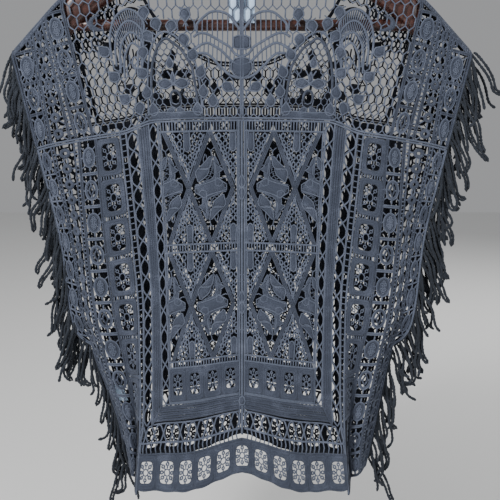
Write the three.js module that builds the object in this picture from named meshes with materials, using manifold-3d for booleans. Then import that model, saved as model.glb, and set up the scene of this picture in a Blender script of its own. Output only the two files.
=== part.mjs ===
// A crochet lace poncho top on a hanger, seen from the garment's back.
// Millimetres, +Z up, +X to the viewer's right, the garment's back towards -Y.
// The origin is where a rail carries the hanger's hook.
//
// The lace is laid out flat: u is the distance from the centre line, v the distance down from the
// yoke seam (negative in the yoke). drape() gives the place where a flat point hangs.
import * as THREE from "three";
import Module from "manifold-3d";

const wasm = await Module();
wasm.setup();

// Driving dimensions
const CLOTH = 2.4; // thickness of the crochet wall
const SEAM_GAP = 0.3; // between sewn pieces
const CORD_RAISE = 1.2; // raised cords and frames on the wall's outer face
const YOKE_Q = 186; // the yoke's own chart runs from 0 at the seam to -YOKE_Q at its top edge
const CUFF_END = 255; // v where the sleeve opening's edge turns the corner
const UNDERARM = 284; // v where the side seam starts
const BODY_HEM = 407; // v of the seam over the hem band
const HEM = 457; // v of the hem
const SIDE_HEM = 465; // v of the side columns' lower edge
const HEM_HALF = 149; // half the flat width of the hem band
const FRONT_LIFT = 16; // the front hangs this much higher than the back
const LEFT_TUCK = 12; // the left side is tucked in by this below the underarm
const STRAND = { length: 66, radius: 1.8, pitch: 17, lean: 19 }; // fringe; the lean is in degrees
const HANGER = { half: 218, top: -82, clear: 1.3, depth: 16, flare: 6, tall: 26, tallEnd: 52 };
const BAR = { z: -181, radius: 7, half: 205 };
const HOOK = { inner: 20, wire: 2 };

// Where the flat lace's main lines hang. u is the line's flat place. In each section v and z are for
// the centre line, x is half the width at each line, droop how far the line hangs below the centre,
// and depth how far it stands out from the hanger's plane.
const U = [0, 105, 150, 182, 208, 241, 276];
const SECTIONS = [
  {
    v: 0, z: -294, x: [0, 103, 147, 178, 201, 237, 255],
    droop: [0, 2, 17, 22, 26, 33, 38], depth: [22, 22, 21, 20, 18, 14, 10],
  },
  {
    v: 145, z: -437, x: [0, 96, 134, 167, 193, 213, 229],
    droop: [0, 4, 12, 19, 21, 20, 19], depth: [29, 29, 27, 27, 25, 17, 10],
  },
  {
    v: 231, z: -518, x: [0, 94, 128, 159, 185, 205, 222],
    droop: [0, 8, 18, 22, 23, 21, 15], depth: [34, 34, 30, 26, 26, 14, 9],
  },
  {
    v: 284, z: -568, x: [0, 93, 128, 150, 176, 195, 214],
    droop: [0, 11, 21, 25, 24, 18, 12], depth: [37, 36, 32, 20, 22, 1.5, 4],
  },
  {
    v: 325, z: -608, x: [0, 92, 128, 145, 168, 187, 205],
    droop: [0, 13, 24, 26, 24, 13, 8], depth: [39, 38, 34, 16, 21, 1.5, 1.5],
  },
  {
    v: 398, z: -686, x: [0, 92, 131, 139, 156, 174, 190],
    droop: [0, 21, 24, 22, 16, 8, 4], depth: [44, 42, 38, 14, 20, 1.5, 1.5],
  },
  {
    v: 465, z: -747, x: [0, 96, 137, 143, 153, 163, 175],
    droop: [0, 31, 30, 14, 9, 6, 4], depth: [48, 45, 40, 14, 18, 1.5, 1.5],
  },
];
// The shoulder line's half width and the yoke's flat depth, at each line
const SHOULDER = { x: [0, 123, 175, 212, 236, 256, 281], deep: [219, 198, 195, 181, 165, 147, 127] };
// Necklines: how much of the yoke is left at u, against its depth up to where it turns over the hanger
const NECK_U = [0, 26, 52, 78, 97, 116];
const NECK = { back: [0.76, 0.765, 0.79, 0.86, 0.945, 1], front: [0.284, 0.297, 0.363, 0.517, 0.66, 1] };
// Soft vertical folds: u of the crest, half width, and height at the hem
const FOLDS = [
  { u: 62, half: 26, height: 5 },
  { u: 118, half: 18, height: -4 },
  { u: 196, half: 13, height: 4 },
];

const smooth = (a, b, x) => {
  const t = Math.min(1, Math.max(0, (x - a) / (b - a)));
  return t * t * (3 - 2 * t);
};
const radians = (degrees) => (degrees * Math.PI) / 180;
// Evenly spaced numbers from a to b
const steps = (a, b, count) => Array.from({ length: count + 1 }, (_, i) => a + ((b - a) * i) / count);

// A monotone cubic through the points (xs, ys)
function cubic(xs, ys, x) {
  const last = xs.length - 1;
  if (x <= xs[0]) return ys[0];
  if (x >= xs[last]) return ys[last];
  const h = (i) => xs[i + 1] - xs[i];
  const rise = (i) => (ys[i + 1] - ys[i]) / h(i);
  const slope = (i) => {
    if (i === 0) return rise(0);
    if (i === last) return rise(last - 1);
    if (rise(i - 1) * rise(i) <= 0) return 0;
    const w1 = 2 * h(i) + h(i - 1);
    const w2 = h(i) + 2 * h(i - 1);
    return (w1 + w2) / (w1 / rise(i - 1) + w2 / rise(i));
  };
  let i = 0;
  while (x > xs[i + 1]) i++;
  const t = (x - xs[i]) / h(i);
  const ends = (1 + 2 * t) * (1 - t) ** 2 * ys[i] + t * t * (3 - 2 * t) * ys[i + 1];
  return ends + h(i) * (t * (1 - t) ** 2 * slope(i) - t * t * (1 - t) * slope(i + 1));
}

// The hanger's arms: the top line and half the depth at x
const armTop = (x) => HANGER.top - 0.15 * Math.abs(x) - 36 * (Math.abs(x) / HANGER.half) ** 3;
const armHalf = (x) => (HANGER.depth + HANGER.flare * (Math.abs(x) / HANGER.half) ** 2) / 2;

// The cloth's middle along the shoulder: over the arms, then falling off beyond their ends.
// z is its height and r the radius of its turn from the back to the front.
function shoulder(x) {
  const lift = HANGER.clear + CLOTH / 2;
  const over = Math.max(0, x - HANGER.half);
  const z = armTop(Math.min(x, HANGER.half)) + lift - 1.07 * over + 3 * (1 - Math.exp(-over / 6));
  return { z, r: armHalf(Math.min(x, HANGER.half)) + lift - 4.5 * smooth(0, 40, over) };
}

const sectionV = SECTIONS.map((s) => s.v);
const sectionZ = SECTIONS.map((s) => s.z);
const across = (name, u, v) => cubic(sectionV, SECTIONS.map((s) => cubic(U, s[name], u)), v);

// The hung place of the flat point (u, v). layer is -1 for the back and 1 for the front.
function drape(layer, u, v) {
  const a = Math.abs(u);
  const down = Math.max(0, v);
  const free = 1 - smooth(215, 241, a) * smooth(CUFF_END, UNDERARM, v); // 0 at the side seam
  let x = across("x", a, down);
  let z = cubic(sectionV, sectionZ, down) - across("droop", a, down);
  let depth = across("depth", a, down);
  for (const f of FOLDS) {
    const near = (a - f.u) / f.half;
    depth += f.height * Math.exp(-near * near) * smooth(40, 420, v) * free * (layer < 0 ? 1 : -0.6);
  }
  if (u < 0) x -= LEFT_TUCK * smooth(160, 241, a) * smooth(300, 400, v);
  if (layer > 0) z += FRONT_LIFT * (1 - smooth(120, 241, a) * smooth(0, UNDERARM, v));
  if (v < 0) {
    const top = cubic(U, SHOULDER.x, a);
    const deep = cubic(U, SHOULDER.deep, a);
    const edge = shoulder(top);
    const turn = (deep + v) / edge.r; // angle left to the shoulder line, once the cloth turns over
    const t = Math.min(1, -v / (deep - (Math.PI / 2) * edge.r));
    x += (top - x) * t;
    z += (edge.z - edge.r - z) * t;
    depth += (edge.r + SEAM_GAP / 2 - depth) * t;
    if (t === 1) {
      z = edge.z - edge.r * (1 - Math.cos(turn));
      depth = edge.r * Math.sin(turn) + SEAM_GAP / 2;
    }
  }
  return new THREE.Vector3(u < 0 ? -x : x, layer * depth, z);
}

// The outward normal there
function outward(layer, u, v) {
  const du = drape(layer, u + 1, v).sub(drape(layer, u - 1, v));
  const dv = drape(layer, u, v + 1).sub(drape(layer, u, v - 1));
  return du.cross(dv).normalize().multiplyScalar(layer);
}

// The yoke's chart: q from -YOKE_Q at the top edge to 0 at the seam
const yokeChart = (neck) => (u, q) => {
  const a = Math.abs(u);
  return [u, (q / YOKE_Q) * cubic(NECK_U, neck, a) * cubic(U, SHOULDER.deep, a)];
};
const bodyChart = (u, v) => [u, v];

// Both edges of a seam have their corners at the same places
const YOKE_SEAM = [0, 4, 55, 105, 124.5, 153, 182, 208, 241, 276];
const SIDE_SEAM = steps(UNDERARM, SIDE_HEM, 4);
const HEM_SEAM = [0, ...steps(HEM_HALF / 11, HEM_HALF, 5)];
const snap = (p) => p.map((value) => Math.round(value * 100) / 100);
const keyOf = (p) => snap(p).join(",");
const rect = (u0, u1, q0, q1) => [[u0, q0], [u1, q0], [u1, q1], [u0, q1]];

// A piece of lace: flat cells, some with a hole, and the points that are raised
class Lace {
  constructor() {
    this.cells = [];
    this.raised = new Map();
  }
  add(outline, hole) {
    this.cells.push({ outline: outline.map(snap), hole });
  }
  raise(...points) {
    for (const p of points) this.raised.set(keyOf(p), CORD_RAISE);
  }
  grid(us, qs) {
    for (let i = 0; i + 1 < us.length; i++)
      for (let j = 0; j + 1 < qs.length; j++) this.add(rect(us[i], us[i + 1], qs[j], qs[j + 1]));
  }
  // A row of cells along a seam at q, raised there
  cord(us, inner, q) {
    this.grid(us, [inner, q]);
    for (const u of us) this.raise([u, q]);
  }
  // A cell with an eye of so many corners, wide and tall as given
  eye(u0, u1, q0, q1, wide, tall, corners, u = (u0 + u1) / 2) {
    const q = (q0 + q1) / 2;
    const hole = Array.from({ length: corners }, (_, i) => {
      const angle = (2 * Math.PI * i) / corners + Math.PI / 2;
      return [u + (wide / 2) * Math.cos(angle), q + (tall / 2) * Math.sin(angle)];
    });
    this.add(rect(u0, u1, q0, q1), hole);
  }
  // A square motif: a raised frame round a lower window
  framed(u0, u1, q0, q1, margin) {
    const window = rect(u0 + margin, u1 - margin, q0 + margin * 1.3, q1 - margin * 1.3);
    this.add(rect(u0, u1, q0, q1), window);
    this.add(window);
    this.raise(...rect(u0, u1, q0, q1));
  }
  // The same lace on both sides of the centre line
  mirrored() {
    const both = new Lace();
    const flip = (p) => [0 - p[0], p[1]];
    for (const c of this.cells) {
      both.cells.push(c, { outline: c.outline.map(flip), hole: c.hole && c.hole.map(flip) });
    }
    for (const [name, height] of this.raised) {
      const [u, q] = name.split(",").map(Number);
      both.raised.set(name, height);
      both.raised.set(keyOf([0 - u, q]), height);
    }
    return both;
  }
}

// A closed wall through the lace's cells: raised outside, plain inside
function wall(layer, chart, lace, thick = CLOTH, lift = 0) {
  const points = [];
  const index = new Map();
  const idOf = (p) => {
    const name = keyOf(p);
    if (!index.has(name)) {
      index.set(name, points.length);
      points.push(p);
    }
    return index.get(name);
  };
  for (const c of lace.cells) c.outline.forEach(idOf);
  const corners = points.slice();
  // the corners of other cells that lie on the edge from a to b
  const between = (a, b) => {
    const [du, dq] = [b[0] - a[0], b[1] - a[1]];
    const size = Math.hypot(du, dq);
    return corners
      .map((p) => ({ p, t: ((p[0] - a[0]) * du + (p[1] - a[1]) * dq) / size }))
      .filter(({ p, t }) => t > 0.05 && t < size - 0.05
        && Math.abs((p[0] - a[0]) * dq - (p[1] - a[1]) * du) / size < 0.01)
      .sort((l, r) => l.t - r.t)
      .map(({ p }) => p);
  };
  const outer = [];
  for (const { outline, hole = [] } of lace.cells) {
    const full = outline.flatMap((a, i) => [a, ...between(a, outline[(i + 1) % outline.length])]);
    const shape = (list) => list.map((p) => new THREE.Vector2(...p));
    const all = [...full, ...hole];
    for (const face of THREE.ShapeUtils.triangulateShape(shape(full), hole.length ? [shape(hole)] : [])) {
      const [a, b, c] = face.map((i) => all[i]);
      const area = (b[0] - a[0]) * (c[1] - a[1]) - (b[1] - a[1]) * (c[0] - a[0]);
      if (Math.abs(area) < 1e-6) continue;
      const ids = [a, b, c].map(idOf);
      outer.push(area * layer > 0 ? ids : ids.reverse());
    }
  }
  const position = [];
  for (const side of [1, -1])
    for (const p of points) {
      const flat = chart(...p);
      const raise = side > 0 ? (lace.raised.get(keyOf(p)) ?? 0) : 0;
      const place = drape(layer, ...flat);
      place.addScaledVector(outward(layer, ...flat), lift + (side * thick) / 2 + raise);
      position.push(...place.toArray());
    }
  const n = points.length;
  const faces = outer.flatMap(([a, b, c]) => [a, b, c, c + n, b + n, a + n]);
  const used = new Set(outer.flatMap(([a, b, c]) => [a + "," + b, b + "," + c, c + "," + a]));
  for (const edge of used) {
    const [a, b] = edge.split(",").map(Number);
    if (!used.has(b + "," + a)) faces.push(b, a, a + n, b, a + n, b + n);
  }
  const geometry = new THREE.BufferGeometry();
  geometry.setAttribute("position", new THREE.Float32BufferAttribute(position, 3));
  geometry.setIndex(faces);
  return geometry;
}

// A closed solid through rings of points that all go round the same way
function loft(rings) {
  const count = rings[0].length;
  const faces = [];
  for (let r = 0; r + 1 < rings.length; r++)
    for (let i = 0; i < count; i++) {
      const j = (i + 1) % count;
      const [a, b, c, d] = [r * count + i, r * count + j, (r + 1) * count + j, (r + 1) * count + i];
      faces.push(a, b, c, a, c, d);
    }
  const end = (rings.length - 1) * count;
  for (let i = 1; i + 1 < count; i++) faces.push(0, i + 1, i, end, end + i, end + i + 1);
  const position = rings.flat().flatMap((p) => p.toArray());
  const at = (i) => new THREE.Vector3().fromArray(position, 3 * i);
  let volume = 0;
  for (let i = 0; i < faces.length; i += 3) {
    volume += at(faces[i]).dot(at(faces[i + 1]).cross(at(faces[i + 2])));
  }
  if (volume < 0) faces.reverse();
  const geometry = new THREE.BufferGeometry();
  geometry.setAttribute("position", new THREE.Float32BufferAttribute(position, 3));
  geometry.setIndex(faces);
  return geometry;
}

// A ring of points round a centre, in the plane of the two given directions
function ring(centre, a, b, ra, rb, corners, start = 0) {
  return steps(0, 1, corners).slice(0, corners).map((t) => {
    const angle = 2 * Math.PI * t + start;
    return centre.clone().addScaledVector(a, ra * Math.cos(angle)).addScaledVector(b, rb * Math.sin(angle));
  });
}

// The cells of the two yokes
function yokeLace() {
  const lace = new Lace();
  const turn = steps(-YOKE_Q, -169, 3); // where the cloth goes over the hanger
  const rows = [...turn, -116, -60, -4];
  lace.grid(NECK_U, rows.slice(3));
  const net = [116, 139, 161, 183, 206, 228];
  for (let i = 0; i + 1 < net.length; i++) {
    lace.grid(net.slice(i, i + 2), turn);
    for (const q of [-169, -134, -99]) lace.eye(net[i], net[i + 1], q, q + 35, 11, 18, 6);
    lace.grid(net.slice(i, i + 2), [-64, -4]);
  }
  lace.grid([228, 252, 276], rows);
  lace.cord(YOKE_SEAM, -4, -SEAM_GAP / 2);
  return lace.mirrored();
}

// One block of diamonds between v0 and v1: raised bands between corners on the rails and points midway
function diamonds(lace, v0, v1) {
  const half = 29; // a diamond's half width
  const band = 3.6; // half the band's width, along u
  const mid = (v0 + v1) / 2;
  const cross = ((v1 - v0) / 2) * (band / half); // how far the bands' edges run before they cross
  const [left, first, right, second] = steps(11.5, 11.5 + 3 * half, 3);
  for (const [rail, way] of [[v0, 1], [v1, -1]]) {
    const strip = (foot, point) => {
      const dir = Math.sign(point - foot);
      const a = [[foot, rail + way * cross], [point - dir * band, mid]];
      const b = [[foot + dir * band, rail], [point, mid - way * cross]];
      const middle = (p, q) => [(p[0] + q[0]) / 2, (p[1] + q[1]) / 2];
      const core = [middle(a[0], b[0]), middle(a[1], b[1])];
      lace.add([a[0], core[0], core[1], a[1]]);
      lace.add([core[0], b[0], b[1], core[1]]);
      lace.raise(...core);
    };
    strip(first, left);
    strip(first, right);
    strip(second, right);
    lace.add([[first - band, rail], [first + band, rail], [first, rail + way * cross]]);
    lace.add([[first + band, rail], [second - band, rail], [right, mid - way * cross]]);
    lace.add([[second - band, rail], [second + band, rail], [second, rail + way * cross]]);
    lace.add([[first, rail + way * cross], [left + band, mid], [right - band, mid]]);
    lace.add([[4, rail], [first - band, rail], [left, mid - way * cross], [left - band, mid], [4, mid]]);
    // the diamond that the panel's edge cuts in half
    const cut = rail + way * cross;
    lace.add([[second + band, rail], [105, rail], [105, mid], [right + band, mid], [second, cut]]);
    lace.raise([first, rail], [second, rail]);
  }
  lace.add([[left - band, mid], [left, mid - cross], [left + band, mid], [left, mid + cross]]);
  lace.add([[right - band, mid], [right, mid - cross], [right + band, mid], [right, mid + cross]]);
}

// The cells of the two bodies
function bodyLace() {
  const lace = new Lace();
  const seam = SEAM_GAP / 2;
  const hem = BODY_HEM - SEAM_GAP / 2;
  // centre cord
  const cord = [49, 99, 149, 199, 249, 304, 352, 373, 394, 403];
  lace.grid([0, 4], [4, ...cord]);
  for (const v of cord) lace.raise([0, v]);
  // centre panel
  lace.cord(YOKE_SEAM, 4, seam);
  lace.grid([4, 55, 105], [4, 14]);
  diamonds(lace, 14, 154);
  lace.grid([4, 55, 105], [154, 164]);
  diamonds(lace, 164, 304);
  lace.grid([4, 105], [304, 312]);
  steps(4, 105, 4).slice(0, 4).forEach((u) => lace.framed(u, u + 25.25, 312, 352, 4.5));
  // two openwork columns beside a raised plain band, which turns the corner under the panel
  const eyes = [...steps(4, 352, 16), 373];
  for (let i = 0; i < 16; i++) lace.eye(105, 124.5, eyes[i], eyes[i + 1], 8.4, 18, 4, 110.5);
  for (let i = 0; i < 17; i++) lace.eye(124.5, 153, eyes[i], eyes[i + 1], 8.8, 18, 4, 139);
  const band = [4, 29.25, 54.5, 79.75, 105, 124.5];
  lace.grid(band, [352, 362.5, 373]);
  for (const v of [...eyes.slice(0, 17), 362.5]) lace.raise([124.5, v]);
  for (const u of band) lace.raise([u, 362.5]);
  // openwork row and ladder over the hem band
  const row = steps(4, 153, 12);
  for (let i = 0; i < 12; i++) lace.eye(row[i], row[i + 1], 373, 394, 8.6, 17, 4);
  lace.grid([4, 42, 80, 118, HEM_HALF, 153], [394, 403]);
  lace.cord(HEM_SEAM, 403, hem);
  lace.grid([HEM_HALF, 153], [403, hem]);
  // side columns: squares, ovals, rings
  const squares = steps(10.5, 418.5, 8);
  lace.grid([153, 182], [4, squares[0]]);
  squares.slice(0, 8).forEach((v) => lace.framed(153, 182, v, v + 51, 5));
  lace.grid([153, 182], [418.5, 442, SIDE_HEM]);
  lace.grid([HEM_HALF + 2, 153], [hem, SIDE_HEM]);
  const rings = [4, ...steps(36, 252, 6), CUFF_END];
  lace.grid([182, 208, 241], [...rings, ...SIDE_SEAM]);
  // sleeve column and the corner under its opening
  lace.grid([241, 276], rings);
  lace.add([[241, CUFF_END], [276, CUFF_END], [273, 267], [265, 276], [254, 281], [241, UNDERARM]]);
  return lace.mirrored();
}

// The hem band's squares
function hemLace() {
  const lace = new Lace();
  const top = BODY_HEM + SEAM_GAP / 2;
  HEM_SEAM.slice(2).forEach((u, i) => lace.framed(HEM_SEAM[i + 1], u, top + 4, HEM, 5));
  lace.cord(HEM_SEAM, top + 4, top);
  const both = lace.mirrored();
  both.framed(-HEM_SEAM[1], HEM_SEAM[1], top + 4, HEM, 5);
  return both;
}

// A label's cells
function labelLace(u0, u1, v0, v1) {
  const lace = new Lace();
  lace.grid([u0, u1], steps(v0, v1, 2));
  return lace;
}

const toSolid = (geometry) =>
  new wasm.Manifold(
    new wasm.Mesh({
      numProp: 3,
      vertProperties: new Float32Array(geometry.attributes.position.array),
      triVerts: new Uint32Array(geometry.index.array),
    }),
  );

function fromSolid(solid) {
  const mesh = solid.getMesh();
  const geometry = new THREE.BufferGeometry();
  geometry.setAttribute("position", new THREE.Float32BufferAttribute(mesh.vertProperties, 3));
  geometry.setIndex(Array.from(mesh.triVerts));
  return geometry;
}

// A fringe: strands hanging from a narrow strip that runs just outside the cloth's edge.
// places are the edge's points, with the directions out of the edge and off the cloth.
function fringe(places, side, shift) {
  const width = 2.6;
  const reach = SEAM_GAP + width / 2;
  const strip = loft(
    places.map(({ point, out, off, half }) => {
      const centre = point.clone().addScaledVector(out, reach);
      return ring(centre, out, off, (width / 2) * Math.SQRT2, half * Math.SQRT2, 4, Math.PI / 4);
    }),
  );
  const track = [0];
  places.slice(1).forEach(({ point }, i) => track.push(track[i] + point.distanceTo(places[i].point)));
  const [x, y] = [new THREE.Vector3(1, 0, 0), new THREE.Vector3(0, 1, 0)];
  const strands = [];
  for (let s = 5 + shift * STRAND.pitch; s < track[track.length - 1] - 3; s += STRAND.pitch) {
    const i = track.findIndex((t) => t > s) - 1;
    const t = (s - track[i]) / (track[i + 1] - track[i]);
    const root = places[i].point.clone().lerp(places[i + 1].point, t).addScaledVector(places[i].out, reach);
    const count = strands.length;
    const size = STRAND.length * (0.92 + 0.08 * Math.sin(2.4 * count + side + 2 * shift));
    const sway = (count % 2 ? 1 : -1) * 0.03;
    const lean = radians(STRAND.lean);
    const tip = root.clone().addScaledVector(new THREE.Vector3(side * Math.sin(lean), sway, -Math.cos(lean)), size);
    const at = (centre, r) => ring(centre, x, y, r, r, 3, Math.PI / 2);
    strands.push(toSolid(loft([at(root, 1), at(tip, STRAND.radius)])));
  }
  return fromSolid(wasm.Manifold.union([toSolid(strip), ...strands]));
}

// The sleeve opening's edge on one side of one layer, from the shoulder to the underarm
function cuffPlaces(layer, side) {
  const flat = [...steps(-127, -100, 2), ...steps(-78, CUFF_END, 16)].map((v) => [276, v]);
  flat.push([273, 267], [265, 276], [254, 281]);
  const at = ([u, v]) => drape(layer, side * u, v);
  return flat.map(([u, v], i) => {
    const next = i ? (flat[i + 1] ?? [241, UNDERARM]) : [u, v + 1];
    const last = i ? flat[i - 1] : [u, v - 1];
    const off = outward(layer, side * u, v);
    const out = at(next).sub(at(last)).cross(off).normalize().multiplyScalar(layer * side);
    return { point: at([u, v]), out, off, half: 1.1 };
  });
}

// The side seam, from under the sleeve to the hem
function sidePlaces(side) {
  const [out, off] = [new THREE.Vector3(side, 0, 0), new THREE.Vector3(0, 1, 0)];
  const places = SIDE_SEAM.map((v) => {
    const point = drape(-1, side * 241, v).add(drape(1, side * 241, v)).multiplyScalar(0.5);
    const edges = [-1, 1].map((layer) => Math.abs(outward(layer, side * 241, v).x) * (CLOTH / 2));
    point.x += side * Math.max(...edges);
    return { point, out, off, half: 2.2 };
  });
  places[0].point.lerp(places[1].point, 0.12); // clear of the sleeve's fringe
  return places;
}

const yarn = (color) => new THREE.MeshStandardMaterial({ color, roughness: 0.92, metalness: 0 });
const slate = yarn(0x5c6276);
const fringeYarn = yarn(0x3a404c);
const labelCloth = new THREE.MeshStandardMaterial({ color: 0xa9c4e4, roughness: 0.7, metalness: 0 });
const lacquer = new THREE.MeshStandardMaterial({ color: 0x4a251c, roughness: 0.4, metalness: 0 });
const steel = new THREE.MeshStandardMaterial({ color: 0xb4b6b8, roughness: 0.25, metalness: 1 });

const top = new THREE.Group();
const place = (name, geometry, material) => {
  const mesh = new THREE.Mesh(geometry, material);
  mesh.name = name;
  top.add(mesh);
};

// The sewn pieces
const yoke = yokeLace();
const body = bodyLace();
const hemBand = hemLace();
const sides = [["left", -1], ["right", 1]];
for (const [name, layer] of [["back", -1], ["front", 1]]) {
  place(`${name}_yoke`, wall(layer, yokeChart(NECK[name]), yoke), slate);
  place(`${name}_body`, wall(layer, bodyChart, body), slate);
  place(`${name}_hem_band`, wall(layer, bodyChart, hemBand), slate);
  for (const [which, side] of sides) {
    const strands = fringe(cuffPlaces(layer, side), side, layer > 0 ? 0.5 : 0);
    place(`${name}_cuff_fringe_${which}`, strands, fringeYarn);
  }
}
for (const [which, side] of sides) {
  place(`side_fringe_${which}`, fringe(sidePlaces(side), side, 0.25), fringeYarn);
}

// Labels: one inside the back's neck, one in the left side seam
place("neck_label", wall(-1, bodyChart, labelLace(-14, 14, -149, -114), 1, -2.2), labelCloth);
{
  const plate = (p) => [[0, -0.5], [20, -0.5], [20, 0.5], [0, 0.5]]
    .map(([x, y]) => new THREE.Vector3(p.x + x, y, p.z));
  place("care_label", loft([345, 365].map((v) => plate(drape(-1, -239.3, v)))), labelCloth);
}

// Hanger arms: one curved beam with rounded edges and drooping, rounded ends
function arms(grow) {
  const ends = [[0.95, 1], [0.985, 0.88], [1, 0.6]]; // share of the half span, and of the section left
  const stations = [
    ...ends.map(([s, size]) => [-s, size]).reverse(),
    ...steps(-0.84, 0.84, 8).map((s) => [s, 1]),
    ...ends,
  ];
  const section = stations.map(([s, size]) => {
    const x = s * HANGER.half;
    const half = armHalf(x);
    const tall = HANGER.tall + (HANGER.tallEnd - HANGER.tall) * s ** 4;
    const flank = tall / 2 - half; // half the straight part of the beam's sides
    const centre = new THREE.Vector3(x, 0, armTop(x) - tall / 2);
    return steps(0.05, 1.05, 10).slice(0, 10).map((t) => {
      const [c, k] = [Math.cos(2 * Math.PI * t), Math.sin(2 * Math.PI * t)];
      const z = size * (half * k + Math.sign(k) * flank) + grow * Math.sign(k);
      return centre.clone().add(new THREE.Vector3(0, (size * half + grow) * c, z));
    });
  });
  return loft(section);
}
place("hanger_arms", arms(0), lacquer);

// Rods bent in the hanger's plane, given by points (x, z)
function rod(points, radius, corners, count) {
  const path = points.map(([x, z]) => new THREE.Vector3(x, 0, z));
  const curve = new THREE.CatmullRomCurve3(path, false, "centripetal");
  const y = new THREE.Vector3(0, 1, 0);
  return loft(
    steps(0, 1, count).map((t) => {
      const side = new THREE.Vector3().crossVectors(curve.getTangentAt(t), y).normalize();
      return ring(curve.getPointAt(t), side, y, radius, radius, corners);
    }),
  );
}

// Trouser bar: a round rod whose ends are cut to the arms' undersides
{
  const bar = rod([[-BAR.half, BAR.z], [0, BAR.z], [BAR.half, BAR.z]], BAR.radius, 12, 2);
  place("hanger_bar", fromSolid(toSolid(bar).subtract(toSolid(arms(SEAM_GAP)))), lacquer);
}

// Hook: a wire that comes up from the arms and turns over the rail
{
  const r = HOOK.inner + HOOK.wire;
  const turn = steps(-50, 190, 8).map(radians).map((a) => [r * Math.cos(a), -HOOK.inner + r * Math.sin(a)]);
  const points = [[0, HANGER.top + SEAM_GAP], [0, -64], [4, -50], ...turn];
  place("hanger_hook", rod(points, HOOK.wire, 6, 20), steel);
}

export default top;
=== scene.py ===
"""The crochet poncho top on its hanger: the lace, fringe, labels, hanger, floor, lights and camera.

The lace is laid out flat in millimetres, as in the CAD part: u is the distance from the centre line
and v the distance down from the yoke seam. drape() gives the place where a flat point hangs.
"""

import math

import bpy
import numpy as np
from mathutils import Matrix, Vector


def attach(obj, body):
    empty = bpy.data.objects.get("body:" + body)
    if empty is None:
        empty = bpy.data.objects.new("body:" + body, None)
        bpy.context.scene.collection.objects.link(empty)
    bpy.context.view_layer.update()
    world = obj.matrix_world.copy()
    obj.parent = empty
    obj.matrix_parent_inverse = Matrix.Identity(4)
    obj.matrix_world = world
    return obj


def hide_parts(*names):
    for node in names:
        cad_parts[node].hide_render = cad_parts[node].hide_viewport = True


MM = 0.001
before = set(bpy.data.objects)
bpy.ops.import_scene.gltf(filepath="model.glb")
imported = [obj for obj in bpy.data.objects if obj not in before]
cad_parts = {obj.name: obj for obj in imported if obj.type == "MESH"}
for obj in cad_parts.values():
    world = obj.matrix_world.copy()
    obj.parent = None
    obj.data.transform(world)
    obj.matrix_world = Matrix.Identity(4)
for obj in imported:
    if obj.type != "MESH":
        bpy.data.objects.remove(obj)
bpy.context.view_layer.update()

# camera, as far away and as high as the photograph's
CAMERA_AT = Vector((10, -1157.53, -256.35)) * MM
CAMERA_TO = Vector((10, -25, -456.05)) * MM
lens = bpy.data.cameras.new("camera")
lens.lens = 66.24
lens.sensor_width = 36
lens.clip_end = 20
camera = bpy.data.objects.new("camera", lens)
camera.location = CAMERA_AT
camera.rotation_euler = (CAMERA_TO - CAMERA_AT).to_track_quat("-Z", "Y").to_euler()
bpy.context.collection.objects.link(camera)
bpy.context.scene.camera = camera

# how the flat lace hangs
CLOTH, SEAM_GAP = 2.4, 0.3
SIDE_U, EDGE_U = 241, 276  # the joined side, and the sleeve's edge
CUFF_END, UNDERARM, SIDE_HEM = 255, 284, 465
FRONT_LIFT, LIFT_U = 16, 120
LEFT_TUCK, TUCK_U, TUCK_V = 12, 160, (300, 400)
HALF_ARMS, ARMS_TOP, ARMS_CLEAR, ARMS_DEPTH, ARMS_FLARE = 218, -82, 1.3, 16, 6
U = [0, 105, 150, 182, 208, SIDE_U, EDGE_U]
# v and z at the centre line, then half the width, the droop and the depth at each u of U
SECTIONS = [
    (0, -294, [0, 103, 147, 178, 201, 237, 255], [0, 2, 17, 22, 26, 33, 38], [22, 22, 21, 20, 18, 14, 10]),
    (145, -437, [0, 96, 134, 167, 193, 213, 229], [0, 4, 12, 19, 21, 20, 19], [29, 29, 27, 27, 25, 17, 10]),
    (231, -518, [0, 94, 128, 159, 185, 205, 222], [0, 8, 18, 22, 23, 21, 15], [34, 34, 30, 26, 26, 14, 9]),
    (284, -568, [0, 93, 128, 150, 176, 195, 214], [0, 11, 21, 25, 24, 18, 12], [37, 36, 32, 20, 22, 1.5, 4]),
    (325, -608, [0, 92, 128, 145, 168, 187, 205], [0, 13, 24, 26, 24, 13, 8], [39, 38, 34, 16, 21, 1.5, 1.5]),
    (398, -686, [0, 92, 131, 139, 156, 174, 190], [0, 21, 24, 22, 16, 8, 4], [44, 42, 38, 14, 20, 1.5, 1.5]),
    (465, -747, [0, 96, 137, 143, 153, 163, 175], [0, 31, 30, 14, 9, 6, 4], [48, 45, 40, 14, 18, 1.5, 1.5]),
]
SHOULDER_X = [0, 123, 175, 212, 236, 256, 281]
SHOULDER_DEEP = [219, 198, 195, 181, 165, 147, 127]
NECK_U = [0, 26, 52, 78, 97, 116]
NECK = {"back": [0.76, 0.765, 0.79, 0.86, 0.945, 1], "front": [0.284, 0.297, 0.363, 0.517, 0.66, 1]}
NECK_SHARE = 169 / 186  # how much of the yoke's depth the deepest neckline would take
# u of the crest, half the width and height of each fold, the u past which folds die out, and their rows
FOLDS = [(62, 26, 5), (118, 18, -4), (196, 13, 4)]
FOLD_END, FOLD_ROWS = 215, (40, 420)
# past the hanger's end the lace falls, rounds off and narrows
OVER_FALL, OVER_ROUND, OVER_REACH, OVER_NARROW, OVER_LENGTH = 1.07, 3, 6, 4.5, 40


def smooth(a, b, x):
    t = np.clip((x - a) / (b - a), 0, 1)
    return t * t * (3 - 2 * t)


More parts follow.
